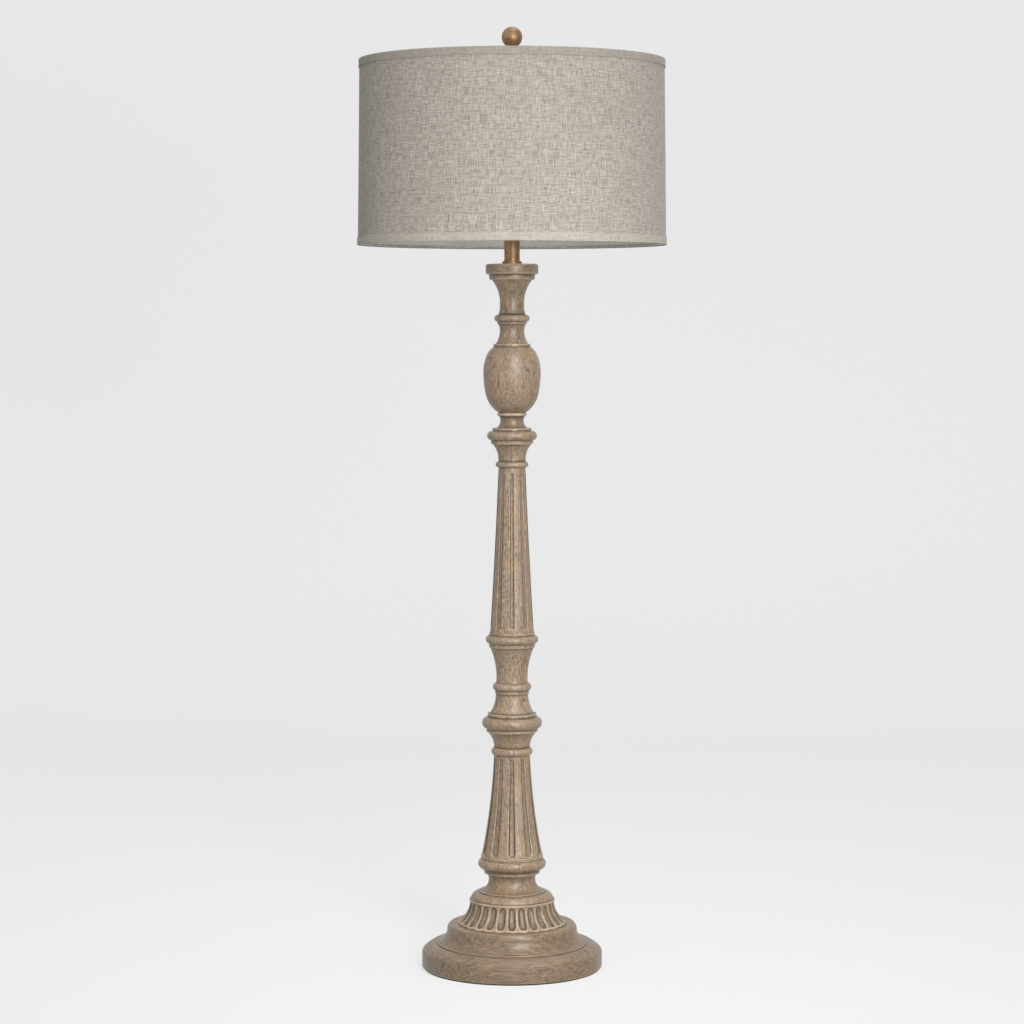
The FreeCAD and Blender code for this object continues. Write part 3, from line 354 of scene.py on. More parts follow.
bead = draw_outline([("line", 30.0, 0), ("bead", 34.0, 13.0), ("line", 10.0, 0)], (10.0, 0.0))
print(f"a bead has {len(bead)} points, and wear {bead[:, 2].min():.2f} to {bead[:, 2].max():.2f}")

# %% [markdown]
# ## Facing outwards
# A face has a front, which is the side that its corners run round anticlockwise. The signed
# volume tells whether a whole mesh is inside out: over all triangles it adds up a . (b x c) / 6,
# and it is negative when the faces look inwards. Such a mesh is turned over as it is made.


# %% Arrays to a mesh object
def signed_volume(vertices, faces):
    """Sum of a . (b x c) / 6 over the fan of triangles of each face."""
    total = 0.0
    for second in range(1, faces.shape[1] - 1):
        a, b, c = (vertices[faces[:, k]] for k in (0, second, second + 1))
        total += (a * np.cross(b, c)).sum() / 6
    return total


def mesh_object(name, vertices, faces, wear_and_shade, uv=None):
    """A smooth-shaded object from arrays of faces, a wear per vertex and a uv per face corner."""
    if sum(signed_volume(vertices, part) for part in faces) < 0:
        faces = [part[:, ::-1] for part in faces]
        uv = None if uv is None else uv[:, ::-1]
    corners = np.concatenate([part.ravel() for part in faces])
    sizes = np.concatenate([np.full(len(part), part.shape[1]) for part in faces])
    starts = np.concatenate([[0], np.cumsum(sizes)[:-1]])
    mesh = bpy.data.meshes.new(name)
    mesh.vertices.add(len(vertices))
    mesh.vertices.foreach_set("co", vertices.astype(np.float32).ravel())
    mesh.loops.add(len(corners))
    mesh.loops.foreach_set("vertex_index", corners.astype(np.int32))
    mesh.polygons.add(len(sizes))
    mesh.polygons.foreach_set("loop_start", starts.astype(np.int32))
    mesh.polygons.foreach_set("use_smooth", np.ones(len(sizes), dtype=bool))
    mesh.update(calc_edges=True)
    wear_layer = mesh.attributes.new("wear_and_shade", "FLOAT", "POINT")
    wear_layer.data.foreach_set("value", wear_and_shade.astype(np.float32))
    if uv is not None:
        uv_layer = mesh.uv_layers.new(name="UVMap")
        uv_layer.data.foreach_set("uv", uv.astype(np.float32).ravel())
    mesh.validate()
    thing = bpy.data.objects.new(name, mesh)
    bpy.context.scene.collection.objects.link(thing)
    return thing


corner = np.array([[0.0, 0, 0], [1, 0, 0], [0, 1, 0], [0, 0, 1]])
sides = np.array([[0, 2, 1], [0, 1, 3], [0, 3, 2], [1, 2, 3]])
print("a corner of a unit cube has the volume", round(signed_volume(corner, sides), 4))

# %% [markdown]
# ## Turning on the lathe
# Point (r, z) of the outline becomes a ring of vertices (r cos t, r sin t, z). A closed outline
# makes a tube-like grid. An outline that starts or ends on the axis gets one pole vertex there,
# with a fan of triangles. A shape function may change the radius and the wear_and_shade of every
# vertex at once, from the outline's rows and the angles, which is how flutes, threads and waves
# are made.


# %% Revolve an outline
def grid_faces(index, closed):
    """Four corners per face, between each ring and the next; a closed outline joins its ends."""
    upper = np.roll(index, -1, axis=0) if closed else index[1:]
    lower = index if closed else index[:-1]
    corners = [lower, np.roll(lower, -1, axis=1), np.roll(upper, -1, axis=1), upper]
    return np.stack(corners, axis=2).reshape(-1, 4)


def cloth_uv(rings, segments):
    """A closed grid's uv in mm: u = angle * largest radius, v = length along the outline."""
    steps = np.linalg.norm(np.diff(rings[:, :2], axis=0, append=rings[:1, :2]), axis=1)
    v = np.concatenate([[0], np.cumsum(steps)])
    u = np.arange(segments + 1) / segments * 2 * math.pi * rings[:, 0].max()
    u0, v0 = np.meshgrid(u[:-1], v[:-1])
    u1, v1 = np.meshgrid(u[1:], v[1:])
    corners = [np.stack(pair, axis=2) for pair in ((u0, v0), (u1, v0), (u1, v1), (u0, v1))]
    return np.stack(corners, axis=2).reshape(-1, 4, 2)


def revolve(name, outline, segments, foot, closed=True, shape=None, with_uv=False):
    """Turn an outline of (radius, height, wear) in mm about Z, standing at a foot height in m."""
    turn = np.arange(segments) * 2 * math.pi / segments
    poles = [] if closed else [end for end in (0, -1) if outline[end, 0] < 1e-6]
    rings = outline[(1 if 0 in poles else 0):(len(outline) - 1 if -1 in poles else None)]
    radius, height, wear_and_shade = (np.repeat(rings[:, k:k + 1], segments, axis=1) for k in (0, 1, 2))
    if shape is not None:
        radius, wear_and_shade = shape(rings, turn, radius, wear_and_shade)
    vertices = np.stack([radius * np.cos(turn), radius * np.sin(turn), height], axis=2)
    vertices, wear_and_shade = vertices.reshape(-1, 3), wear_and_shade.ravel()
    index = np.arange(len(vertices)).reshape(len(rings), segments)
    faces = [grid_faces(index, closed)]
    for end in poles:
        around = [np.roll(index[end], -1), index[end]]
        if end == -1:
            around.reverse()
        faces.append(np.stack([np.full(segments, len(vertices)), *around], axis=1))
        vertices = np.concatenate([vertices, [[0, 0, outline[end, 1]]]])
        wear_and_shade = np.append(wear_and_shade, outline[end, 2])
    uv = cloth_uv(rings, segments) if with_uv else None
    return mesh_object(name, vertices * MM + [0, 0, foot], faces, wear_and_shade, uv)


two_rings = np.arange(16).reshape(2, 8)
print("two rings of 8 vertices have", len(grid_faces(two_rings, False)), "faces between them")

# %% [markdown]
# ## Taking a CAD node's place
# A finer piece rides on the same body as the node that it stands for, so that it moves with the
# joints. The node itself is hidden, but stays in the simulation. Every piece stands at the
# height of its node's underside, so nothing is placed by eye.


# %% Dress a piece
def stand_in_for(thing, cad_node, body, material):
    """Give a new piece its material and its body, and show it instead of a CAD node."""
    thing.data.materials.append(material)
    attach(thing, body)
    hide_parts(cad_node)
    return thing


def foot_of(cad_node):
    """The height of a CAD node's underside, in metres."""
    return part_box(cad_node)[0].z


print(f"the column cap stands {foot_of('column_cap'):.3f} m above the floor")

# %% [markdown]
# ## Flutes
# A flute is the groove that a round cutter of radius p leaves when its lowest point runs d under
# the surface. Across the shaft, at an angle t from the flute's middle, the cutter's near side is
# at c cos t - sqrt(p * p - (c sin t) ** 2), where c = R - d + p. The surface is the smaller of
# that and R, with a soft corner: -k log(exp(-R / k) + exp(-cut / k)), k being a fifth of a
# millimetre. Past a flute's end the cutter's radius shrinks as a sphere's does, so the ends are
# round. The rims of a flute are rubbed pale, partly real wear and partly a painted highlight,
# and its walls and floor are darker, partly glaze and partly painted shade.

# %% A cutter that carves flutes
CORE = 14.0
SOFT_CORNER = 0.2
RIM_WIDTH = 1.8


def flutes(count, ends, depth, cutter, wall_height):
    """A shape for revolve: flutes between two heights, depth and cutter from foot to head."""
    def carve(rings, turn, radius, wear_and_shade):
        """Cut the rows that lie on the outer wall and within reach of the cutter."""
        r, z = rings[:, 0:1], rings[:, 1:2]
        flute = (turn + math.pi / 2) * count / (2 * math.pi)
        middle = np.abs((flute + 0.5) % 1 - 0.5) * 2 * math.pi / count
        share = np.clip((z - ends[0]) / (ends[1] - ends[0]), 0, 1)
        deep = depth[0] + (depth[1] - depth[0]) * share
        size = cutter[0] + (cutter[1] - cutter[0]) * share
        past = np.maximum(np.maximum(ends[0] - z, z - ends[1]), 0)
        reached = (r >= CORE) & (z > 0) & (z < wall_height) & (past < size)
        centre = r - deep + size
        inside = np.maximum(size ** 2 - past ** 2, 0) - (centre * np.sin(middle)) ** 2
        near_side = centre * np.cos(middle) - np.sqrt(np.maximum(inside, 0))
        cut = np.where(inside > 0, near_side, r + 9)
        carved = -SOFT_CORNER * np.logaddexp(-r / SOFT_CORNER, -cut / SOFT_CORNER)
        carved = np.minimum(carved, r)
        down = (r - carved) / deep
        # Pale rims: rubbing and painted highlight. Darker walls and floor: glaze and painted shade.
        rim = np.exp(-((cut - r) / RIM_WIDTH) ** 2) * np.clip(1 - down / 0.3, 0, 1)
        half_way = np.exp(-((down - 0.5) / 0.26) ** 2)
        change = 1.1 * rim - 0.6 * half_way - 0.16 * down
        return np.where(reached, carved, radius), wear_and_shade + np.where(reached, change, 0)
    return carve


def add_rows(outline, spacing, core=CORE):
    """Fill the steep steps of an outline outside a core radius with more points, in mm."""
    step = np.roll(outline, -1, axis=0) - outline
    gap = np.linalg.norm(step[:, :2], axis=1)
    outer = np.minimum(outline[:, 0], np.roll(outline[:, 0], -1)) > core
    count = np.where(outer & (np.abs(step[:, 1]) > 0.5 * gap), (gap / spacing).astype(int), 1)
    count = np.maximum(count, 1)
    row = np.repeat(np.arange(len(outline)), count)
    k = np.arange(len(row)) - np.repeat(np.cumsum(count) - count, count)
    return outline[row] + step[row] * k[:, None] / count[row, None]


print("the bead with a row each millimetre:", len(add_rows(bead, 1.0)), "points")

# %% [markdown]
# ## The turned wooden pieces
# Each row follows the CAD outline of its node, from the floor up, and ends with the material and
# the number of steps round. Every piece has a 10.9 mm bore for the lamp pipe, so its outline is
# a closed loop that starts and ends there. The plinth's loop starts at the rim of the recess for
# the weight instead. The second table has the three fluted pieces: how many flutes, the heights
# between which they run, and their depth and cutter radius at the foot and at the head.

# %% Tables of mouldings and flutes
BORE = 5.45
RECESS = 105.5
WOOD = {
    "base_plinth": ([("line", 146.6, 0), ("flare", 149.0, 2.4), ("line", 149.0, 23.4),
                     ("line", 147.8, 0), ("line", 147.8, 2.7), ("bow", 133.0, 10.5, -0.9),
                     ("line", BORE, 0), ("line", BORE, -5.0), ("line", RECESS, 0),
                     ("line", RECESS, -34.0)], base_wood, 288),
    "base_riser": ([("line", 124.0, 0), ("line", 124.0, 2.2), ("line", 121.8, 0),
                    ("flare", 107.3, 22.0), ("cup", 102.8, 8.6)], base_wood, 240),
    "fluted_cove": ([("line", 89.0, 0), ("line", 89.0, 3.6), ("line", 87.5, 0),
                     ("flare", 69.6, 34.0)], column_wood, 504),
    "base_neck": ([("line", 70.6, 0), ("line", 70.6, 3.4), ("line", 68.0, 0), ("cup", 56.6, 11.6),
                   ("line", 54.6, 0), ("line", 54.6, 2.4), ("line", 51.6, 0), ("flare", 38.4, 19.0),
                   ("cup", 42.0, 10.0)], column_wood, 192),
    "foot_collar": ([("line", 46.0, 0), ("line", 46.0, 6.8), ("line", 47.0, 0),
                     ("bead", 56.0, 18.4), ("line", 51.3, 0), ("line", 51.3, 5.6)],
                    column_wood, 176),
    "lower_shaft": ([("line", 50.0, 0), ("bow", 29.8, 165.0, 3.3)], column_wood, 320),
    "waist_collar": ([("line", 29.8, 0), ("bead", 34.0, 13.3), ("line", 29.6, 0),
                      ("cup", 41.0, 26.4), ("line", 42.4, 0), ("line", 42.4, 4.4),
                      ("line", 40.5, 0), ("bead", 49.5, 19.9), ("line", 40.4, 0),
                      ("line", 40.4, 6.0), ("line", 36.5, 0), ("flare", 26.7, 32.2),
                      ("line", 27.8, 0), ("line", 27.8, 5.0), ("line", 26.6, 0),
                      ("bead", 31.8, 13.3)], column_wood, 160),
    "middle_spool": ([("line", 26.2, 0), ("flare", 25.7, 9.0), ("cup", 36.3, 49.9),
                      ("line", 37.9, 0), ("line", 37.9, 5.8), ("line", 37.0, 0),
                      ("bead", 43.3, 14.0), ("line", 37.4, 0), ("line", 37.4, 5.0)],
                     column_wood, 144),
    "upper_shaft": ([("line", 35.9, 0), ("bow", 22.2, 271.4, 0.7)], column_wood, 288),
    "urn_collar": ([("line", 22.4, 0), ("bead", 27.0, 9.9), ("line", 22.5, 0), ("line", 22.5, 4.0),
                    ("cup", 32.2, 24.8), ("line", 34.6, 0), ("line", 34.6, 5.7), ("line", 33.5, 0),
                    ("bead", 41.0, 15.6), ("line", 32.0, 0), ("line", 32.0, 4.9),
                    ("line", 26.0, 0), ("flare", 19.1, 12.4), ("cup", 21.0, 6.5),
                    ("bead", 24.0, 6.6)], column_wood, 144),
    "urn": ([("line", 23.2, 0), ("bow", 43.9, 32.8, -4.0), ("flare", 47.1, 32.8),
             ("cup", 42.2, 26.4), ("bow", 30.0, 15.6, -1.6), ("line", 30.3, 0),
             ("line", 30.3, 4.6)], column_wood, 192),
    "column_neck": ([("line", 26.9, 0), ("flare", 20.0, 22.0), ("cup", 22.8, 10.4),
                     ("line", 24.1, 0), ("line", 24.1, 3.6), ("line", 23.6, 0),
                     ("bead", 29.0, 11.4), ("line", 22.8, 0), ("flare", 19.9, 14.4),
                     ("line", 19.9, 6.0), ("cup", 33.2, 36.8)], column_wood, 144),
    "column_cap": ([("line", 35.4, 0), ("flare", 37.5, 2.3), ("line", 37.5, 6.6),
                    ("line", 40.0, 0), ("flare", 43.2, 3.4), ("line", 43.2, 9.1),
                    ("cup", 38.6, 4.6)], cap_wood, 160),
}
FLUTED = {
    "fluted_cove": (28, (9.4, 31.4), (3.0, 3.0), (11.6, 8.4)),
    "lower_shaft": (10, (7.0, 158.0), (4.0, 2.2), (8.0, 3.8)),
    "upper_shaft": (9, (12.0, 259.4), (2.6, 1.6), (5.6, 3.8)),
}
print(len(WOOD), "turned pieces,", len(FLUTED), "of them fluted")

# %% [markdown]
# ## Seams
# Where two turned pieces meet, dirt and dark glaze gather in the joint. A seam shows at the
# narrower piece's corner. Around it the wear_and_shade of both pieces drops by
# 0.9 exp(-(d / 1.2) ** 2), d being the distance from that corner in millimetres.

# %% Outlines with dark seams
SEAM_DEPTH = 0.9
SEAM_WIDTH = 1.2


def wood_outlines():
    """The outline of every wooden piece, closed through its bore or its recess."""
    outlines = {}
    for cad_node, (stretches, _, _) in WOOD.items():
        hollow = cad_node == "base_plinth"
        closing = [] if hollow else [("line", BORE, 0)]
        outlines[cad_node] = draw_outline(stretches + closing, (RECESS if hollow else BORE, 0.0))
    return outlines


def darken_seams(outlines):
    """Lower the wear of both pieces beside each seam, which is at the narrower one's corner."""
    for below, above in zip(list(outlines), list(outlines)[1:]):
        under, over = outlines[below], outlines[above]
        height = under[:, 1].max()
        corner = min(under[under[:, 1] > height - 0.3, 0].max(), over[over[:, 1] < 0.3, 0].max())
        for outline, level in ((under, height), (over, 0.0)):
            distance = np.hypot(outline[:, 0] - corner, outline[:, 1] - level)
            outline[:, 2] -= SEAM_DEPTH * np.exp(-(distance / SEAM_WIDTH) ** 2)


outlines = wood_outlines()
darken_seams(outlines)
print("outline points:", sum(len(outline) for outline in outlines.values()))

# %% [markdown]
# ## Turning the column
# Now every outline goes on the lathe. The fluted pieces get a row of points at least every
# 3 mm up their walls, because a flute's round end needs them.

# %% Turn every wooden piece
ROW_SPACING = 1.5
for cad_node, (_, material, segments) in WOOD.items():
    outline, carve = outlines[cad_node], None
    if cad_node in FLUTED:
        outline = add_rows(outline, ROW_SPACING)
        carve = flutes(*FLUTED[cad_node], outline[:, 1].max())
    piece = revolve("wood_" + cad_node, outline, segments, foot_of(cad_node), shape=carve)
    stand_in_for(piece, cad_node, "stand", material)
    print(piece.name, len(piece.data.polygons), "faces")

# %% [markdown]
# ## Brass and steel
# Both are metals, so their colour is the colour of their reflection, and metallic is 1. The
# brass has aged: it is browned in blotches about 8 mm wide and along recesses, and the lines of
# its drawing and turning are 1.1 mm wide and 17 mm long. The steel is drawn wire and pressed
# strip with zinc on it. Its lines, 0.7 mm wide and 11 mm long, are drawn coarser than real ones
# so that they show.


# %% Two metals
def metal(name, bright, dull, rough, cells):
    """Two tones of a metal mixed by blotches; its lines lift the roughness by up to 0.14."""
    material = new_material(name)
    place = add(material, "TexCoord", out="Object")
    blotches = noise(material, place, [120.0, 120.0, 90.0])
    lines = noise(material, place, cells, 2.0)
    wear_and_shade = add(material, "Attribute", out="Fac", attribute_name="wear_and_shade")
    browned = add(material, "MapRange", [blotches, 0.35, 0.7])
    recessed = add(material, "MapRange", [wear_and_shade, -0.05, -0.5, 0.0, 0.8])
    colour = coats(material, bright, (browned, dull), (recessed, dull))
    roughness = add(material, "MapRange", [lines, 0.3, 0.7, rough, rough + 0.14])
    looks = {"Base Color": colour, "Roughness": roughness, "Metallic": 1.0}
    return surface(material, looks, lines, 0.04 * MM)


aged_brass = metal("Aged brass", "#a68868", "#80644a", 0.42, [900.0, 900.0, 60.0])
zinc_steel = metal("Brushed steel", "#b4b3b0", "#85847f", 0.32, [1500.0, 1500.0, 90.0])
print("metals:", aged_brass.name, "and", zinc_steel.name)

# %% [markdown]
# ## The brass pieces
# The finial is a ball on a coved foot, drawn from inside its threaded hole, over the foot and up
# to the top of the ball. The neck tube and its ring are plain turned tubes with softened rims.

# %% Finial, check ring and neck tube
RIM_BLUR = 0.3


def tube(outer, inner, length):
    """The closed outline of a plain tube: out, up and in again."""
    walls = [("line", outer, 0), ("line", outer, length), ("line", inner, 0)]
    return draw_outline(walls, (inner, 0.0), True, RIM_BLUR)


finial = draw_outline([("line", 3.1, 0), ("line", 3.1, -16.0), ("line", 9.0, 0), ("line", 9.0, 3.0),
                       ("line", 7.6, 0), ("flare", 5.4, 8.0), ("line", 8.2, 0), ("line", 8.2, 3.0),
                       ("line", 6.0, 0), ("line", 6.0, 9.1), ("flare", 16.9, 15.8),
                       ("cup", 0.0, 16.9)], (0.0, 16.0), False, RIM_BLUR)
finial_piece = revolve("brass_finial", finial, 128, foot_of("finial"), False)
stand_in_for(finial_piece, "finial", "finial", aged_brass)
for cad_node, walls in (("check_ring", (15.9, BORE, 4.3)), ("neck_tube", (12.7, 11.5, 62.0))):
    piece = revolve("brass_" + cad_node, tube(*walls), 128, foot_of(cad_node))
    stand_in_for(piece, cad_node, "stand", aged_brass)
print(f"the finial's ball ends {finial[:, 1].max():.1f} mm above its foot")

# %% [markdown]
# ## The bulb's screw base
# Its thread is rolled into thin sheet, so it is a wave rather than a cut: at height z and angle
# t the wall drops by 0.45 - 0.45 sin(2 pi z / 3.6 - t) millimetres. The wave climbs 3.6 mm,
# about seven turns to the inch, each time it goes round.

# %% Bulb base with a rolled thread
PITCH = 3.6
THREAD_DEPTH = 0.45


def threaded(rings, turn, radius, wear_and_shade):
    """Radius less depth * (1 - sin(2 pi z / pitch - t)) on the wall between two heights."""
    height = rings[:, 1:2]
    on_wall = (rings[:, 0:1] > 12) & (height > 5) & (height < 20)
    wave = np.sin(2 * math.pi * height / PITCH - turn[None, :])
    return np.where(on_wall, radius - THREAD_DEPTH + THREAD_DEPTH * wave, radius), wear_and_shade


bulb_base = draw_outline([("line", 4.6, 0), ("line", 4.6, 1.6), ("line", 12.5, 3.0),
                          ("line", 12.5, 20.0), ("line", 0.0, 0)], (0.0, 0.0), False, RIM_BLUR)
bulb_base = add_rows(bulb_base, 0.4, 12.0)
base_piece = revolve("brass_bulb_base", bulb_base, 96, foot_of("bulb_base"), False, threaded)
stand_in_for(base_piece, "bulb_base", "bulb", aged_brass)
print("thread:", round(15.0 / PITCH, 1), "turns")

# %% [markdown]
# ## Dull solids
# Moulded plastic, cast iron and felt differ mainly in how rough they are and how large their
# grains are: casting sand leaves about a millimetre, and tufts of wool are as large. One
# function serves them all, with the grain's size in millimetres.


# %% Iron, plastics and felt
def grained(name, light, dark, rough, size, depth=0.1):
    """A dull solid with grains of one size, standing out by a depth, both in mm."""
    material = new_material(name)
    place = add(material, "TexCoord", out="Object")
    grains = noise(material, place, [1000 / size] * 3, 3.0)
    colour = coats(material, dark, (add(material, "MapRange", [grains, 0.35, 0.65]), light))
    return surface(material, {"Base Color": colour, "Roughness": rough}, grains, depth * MM)


cast_iron = grained("Cast iron", "#3a3a3b", "#262626", 0.75, 1.2)
black_plastic = grained("Black phenolic plastic", "#1d1b1a", "#131211", 0.42, 1.5)
felt = grained("Brown wool felt", "#3a322a", "#241f1a", 0.95, 1.1, 0.5)
liner_plastic = grained("White styrene liner", "#f5f2ea", "#ece8de", 0.62, 4.0)
print("dull solids:", cast_iron.name, black_plastic.name, felt.name, liner_plastic.name, sep=", ")

# %% [markdown]
# ## The felt underside
# A disc of felt is glued under the plinth, 3 mm inside its edge, so the wood never touches the
# floor. It is cut flat and stays flat.

# %% Felt disc
felt_pad = draw_outline([("line", 146.0, 0), ("line", 146.0, 2.0), ("line", 0.0, 0)], (0.0, 0.0),
                        False, RIM_BLUR)
felt_disc = revolve("felt_disc", felt_pad, 240, 0.0, False)
felt_piece = stand_in_for(felt_disc, "felt_pad", "stand", felt)

# %% [markdown]
# ## Linen
# Linen threads swell and thin as they go, which makes the long pale and dark slubs. The cloth's
# UV map is in millimetres, so a noise can be stretched along the weft and another along the
# warp. Real threads are about half a millimetre wide, too fine for this view. They are drawn
# 1.5 mm wide and 14 mm long, and the slubs, which show from across a room, 2.4 mm wide and 55 mm
# long. Soft greyer areas of 50 to 80 mm lie over both. The hems are the same cloth, folded
# double, so they are a little denser and evener.


# %% Three linens
def linen_weave(name, dark, light):
    """Threads both ways: 0.7 of the fine ones and 0.3 of the slubs, for colour and for relief."""
    material = new_material(name)
    cloth = add(material, "UVMap", uv_map="UVMap")

    def threads(width, length, detail):
        """Half of a weft noise plus half of a warp noise, sizes in mm."""
        weft = noise(material, cloth, [1 / length, 1 / width, 1.0], detail)
        warp = noise(material, cloth, [1 / width, 1 / length, 1.0], detail)
        both_ways = add(material, "Math", [weft, warp], operation="ADD")
        return add(material, "Math", [both_ways, 0.5], operation="MULTIPLY")

    fine = add(material, "Math", [threads(1.5, 14.0, 3.0), 0.7], operation="MULTIPLY")
    slubs = add(material, "Math", [threads(2.4, 55.0, 2.0), 0.3], operation="MULTIPLY")
    both = add(material, "Math", [fine, slubs], operation="ADD")
    wide = noise(material, cloth, [0.012, 0.02, 1.0], 2.0)
    greyer = add(material, "MapRange", [wide, 0.35, 0.65, 0.0, 0.25])
    colour = coats(material, dark, (add(material, "MapRange", [both, 0.405, 0.595]), light),
                   (greyer, "#a39b90"))
    looks = {"Base Color": colour, "Roughness": 0.92, "Sheen Weight": 0.15, "Sheen Roughness": 0.5}
    return surface(material, looks, both, 0.9 * MM)


linen = linen_weave("Natural linen", "#857d74", "#c9c2b8")
hem_linen = linen_weave("Linen hem tape", "#a19a90", "#cbc5bb")
# The top hem gets a darker copy of the hem cloth.
top_hem_linen = linen_weave("Linen hem tape, darker top", "#8f8980", "#b4ada3")
print("linen graph:", len(linen.node_tree.nodes), "nodes")

# %% [markdown]
# ## The drum's walls
# The shade is a slightly conical drum: linen on a stiff white liner, between two wire rings. The
# hems are bands 12.7 mm high, folded over the edges, and the walls end inside the fold. Each
# part is a closed outline that is turned once round, so it has a real thickness.

# %% Outlines of the drum
SHADE_HEIGHT = 300.0
FOOT_RADIUS = 251.8
HEAD_RADIUS = 248.4
HEM = 12.7
FOLD = 1.3


def shade_radius(up):
    """The linen's outer radius in mm at a height: foot + (head - foot) * up / height."""
    return FOOT_RADIUS + (HEAD_RADIUS - FOOT_RADIUS) * up / SHADE_HEIGHT


def corner_outline(corners, blur):
    """Join corners with straight stretches into a closed outline."""
    steps = [("line", there[0], there[1] - here[1]) for here, there in zip(corners, corners[1:])]
    return draw_outline(steps, corners[0], True, blur, 20.0)


def wall_outline(inset, thickness):
    """A thin wall between the folds of the hems, its outer face inset from the linen's."""
    low, high = FOLD, SHADE_HEIGHT - FOLD
    corners = [(shade_radius(low) - inset - thickness, low), (shade_radius(low) - inset, low),
               (shade_radius(high) - inset, high), (shade_radius(high) - inset - thickness, high)]
    return corner_outline(corners, 0.2)


def hem_outline(edge, seam, lip):
    """A folded hem: a cuff outside the linen from the edge to its seam, and a lip inside."""
    corners = [(shade_radius(edge) - 2.0, edge), (shade_radius(edge) + FOLD, edge),
               (shade_radius(seam) + FOLD, seam), (shade_radius(seam) + 0.1, seam),
               (shade_radius(lip) + 0.1, lip), (shade_radius(lip) - 2.0, lip)]
    return corner_outline(corners, 0.3)


print(f"the drum narrows by {FOOT_RADIUS - HEAD_RADIUS:.1f} mm from foot to head")

# %% [markdown]
# ## The shade
# Stretched cloth is never quite round. Its radius wanders by up to 0.26 mm with a few slow waves
# round the shade, strongest half way up and still at both hems, where the rings hold it.


# %% Linen, hems and liner
def slack(rings, turn, radius, wear_and_shade):
    """Add 0.12 mm waves of 3, 7 and 16 to a turn, times sin(pi * up / height)."""
    ripple = np.sin(3 * turn + 0.4) + 0.7 * np.sin(7 * turn + 2.1) + 0.5 * np.sin(16 * turn + 1.0)
    middle = np.sin(np.pi * np.clip(rings[:, 1:2] / SHADE_HEIGHT, 0, 1))
    return radius + 0.12 * middle * ripple[None, :], wear_and_shade


shade_foot = foot_of("bottom_hem")
bottom_fold = hem_outline(0.0, HEM, FOLD)
top_fold = hem_outline(SHADE_HEIGHT, SHADE_HEIGHT - HEM, SHADE_HEIGHT - FOLD)
cover = revolve("linen_drum", wall_outline(0.0, 0.9), 360, shade_foot, shape=slack, with_uv=True)
bottom = revolve("linen_bottom_hem", bottom_fold, 360, shade_foot, with_uv=True)
top = revolve("linen_top_hem", top_fold, 360, shade_foot, with_uv=True)
lining = revolve("styrene_liner", wall_outline(1.0, 1.0), 360, shade_foot, with_uv=True)
stand_in_for(cover, "linen_cover", "shade", linen)
stand_in_for(bottom, "bottom_hem", "shade", hem_linen)
stand_in_for(top, "top_hem", "shade", top_hem_linen)
stand_in_for(lining, "shade_liner", "shade", liner_plastic)

# %% [markdown]
# ## Opal glass
# The bulb is milk glass: white all through, smooth outside, with faint clouds of about 33 mm.
# Light scatters inside it at once, so a white surface under a clear gloss looks the same as the
# real wall and renders in a fraction of the time.

# %% Milk glass for the bulb
bulb_glass = new_material("Opal glass")
cloud = noise(bulb_glass, add(bulb_glass, "TexCoord", out="Object"), [30.0, 30.0, 30.0], 2.0)
milky = coats(bulb_glass, "#f3f1ec", (add(bulb_glass, "MapRange", [cloud, 0.3, 0.7]), "#e9e6df"))
surface(bulb_glass, {"Base Color": milky, "Roughness": 0.18, "Coat Weight": 0.5,
                     "Coat Roughness": 0.05})
print("glass graph:", len(bulb_glass.node_tree.nodes), "nodes")

# %% [markdown]
# ## Dressing the other CAD nodes
# The hardware keeps its CAD mesh: the harp, the spider, the socket and what is inside the base.
# Each gets its material, and smooth shading that stops at edges of over 35 degrees, so that
# tubes look round and corners stay crisp.

# %% Materials on the hardware
DRESS = {
    "base_weight": cast_iron, "base_washer": zinc_steel, "base_nut": zinc_steel,
    "cord_bushing": black_plastic, "harp_saddle": zinc_steel, "lamp_pipe": zinc_steel,
    "socket_cap": aged_brass, "socket_shell": aged_brass, "socket_sleeve": black_plastic,
    "socket_body": black_plastic, "screw_shell": aged_brass, "centre_contact": aged_brass,
    "switch_knob": black_plastic, "bulb_glass": bulb_glass, "harp_bow": zinc_steel,
    "harp_post_right": zinc_steel, "harp_post_left": zinc_steel,
    "harp_stud": zinc_steel, "harp_ferrule_right": aged_brass, "harp_ferrule_left": aged_brass,
    "spider_hub": zinc_steel, "spider_arm_1": zinc_steel, "spider_arm_2": zinc_steel,
    "spider_arm_3": zinc_steel, "shade_top_ring": zinc_steel, "shade_bottom_ring": zinc_steel,
}
for cad_node, material in DRESS.items():
    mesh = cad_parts[cad_node].data
    mesh.materials.clear()
    mesh.materials.append(material)
    mesh.shade_smooth()
    mesh.set_sharp_from_angle(angle=math.radians(35))
print(len(DRESS), "CAD nodes dressed")

# %% [markdown]
# ## What is seen and what gives light
# The background should look pale and even, but a bright backdrop would also light the lamp from
# behind. Rays are sorted for that: those from the camera, and those that metal mirrors or glass
# lets through, see a bright backdrop. The light that reaches the lamp comes from a darker one.


# %% Sort the rays
def seen_by(owner):
    """1 for camera, mirrored and let-through rays, else 0: the largest of the three."""
    looking, mirrored, clear = (add(owner, "LightPath", out=f"Is {kind} Ray")
                                for kind in ("Camera", "Glossy", "Transmission"))
    indirect = add(owner, "Math", [mirrored, clear], operation="MAXIMUM")
    return add(owner, "Math", [looking, indirect], operation="MAXIMUM")


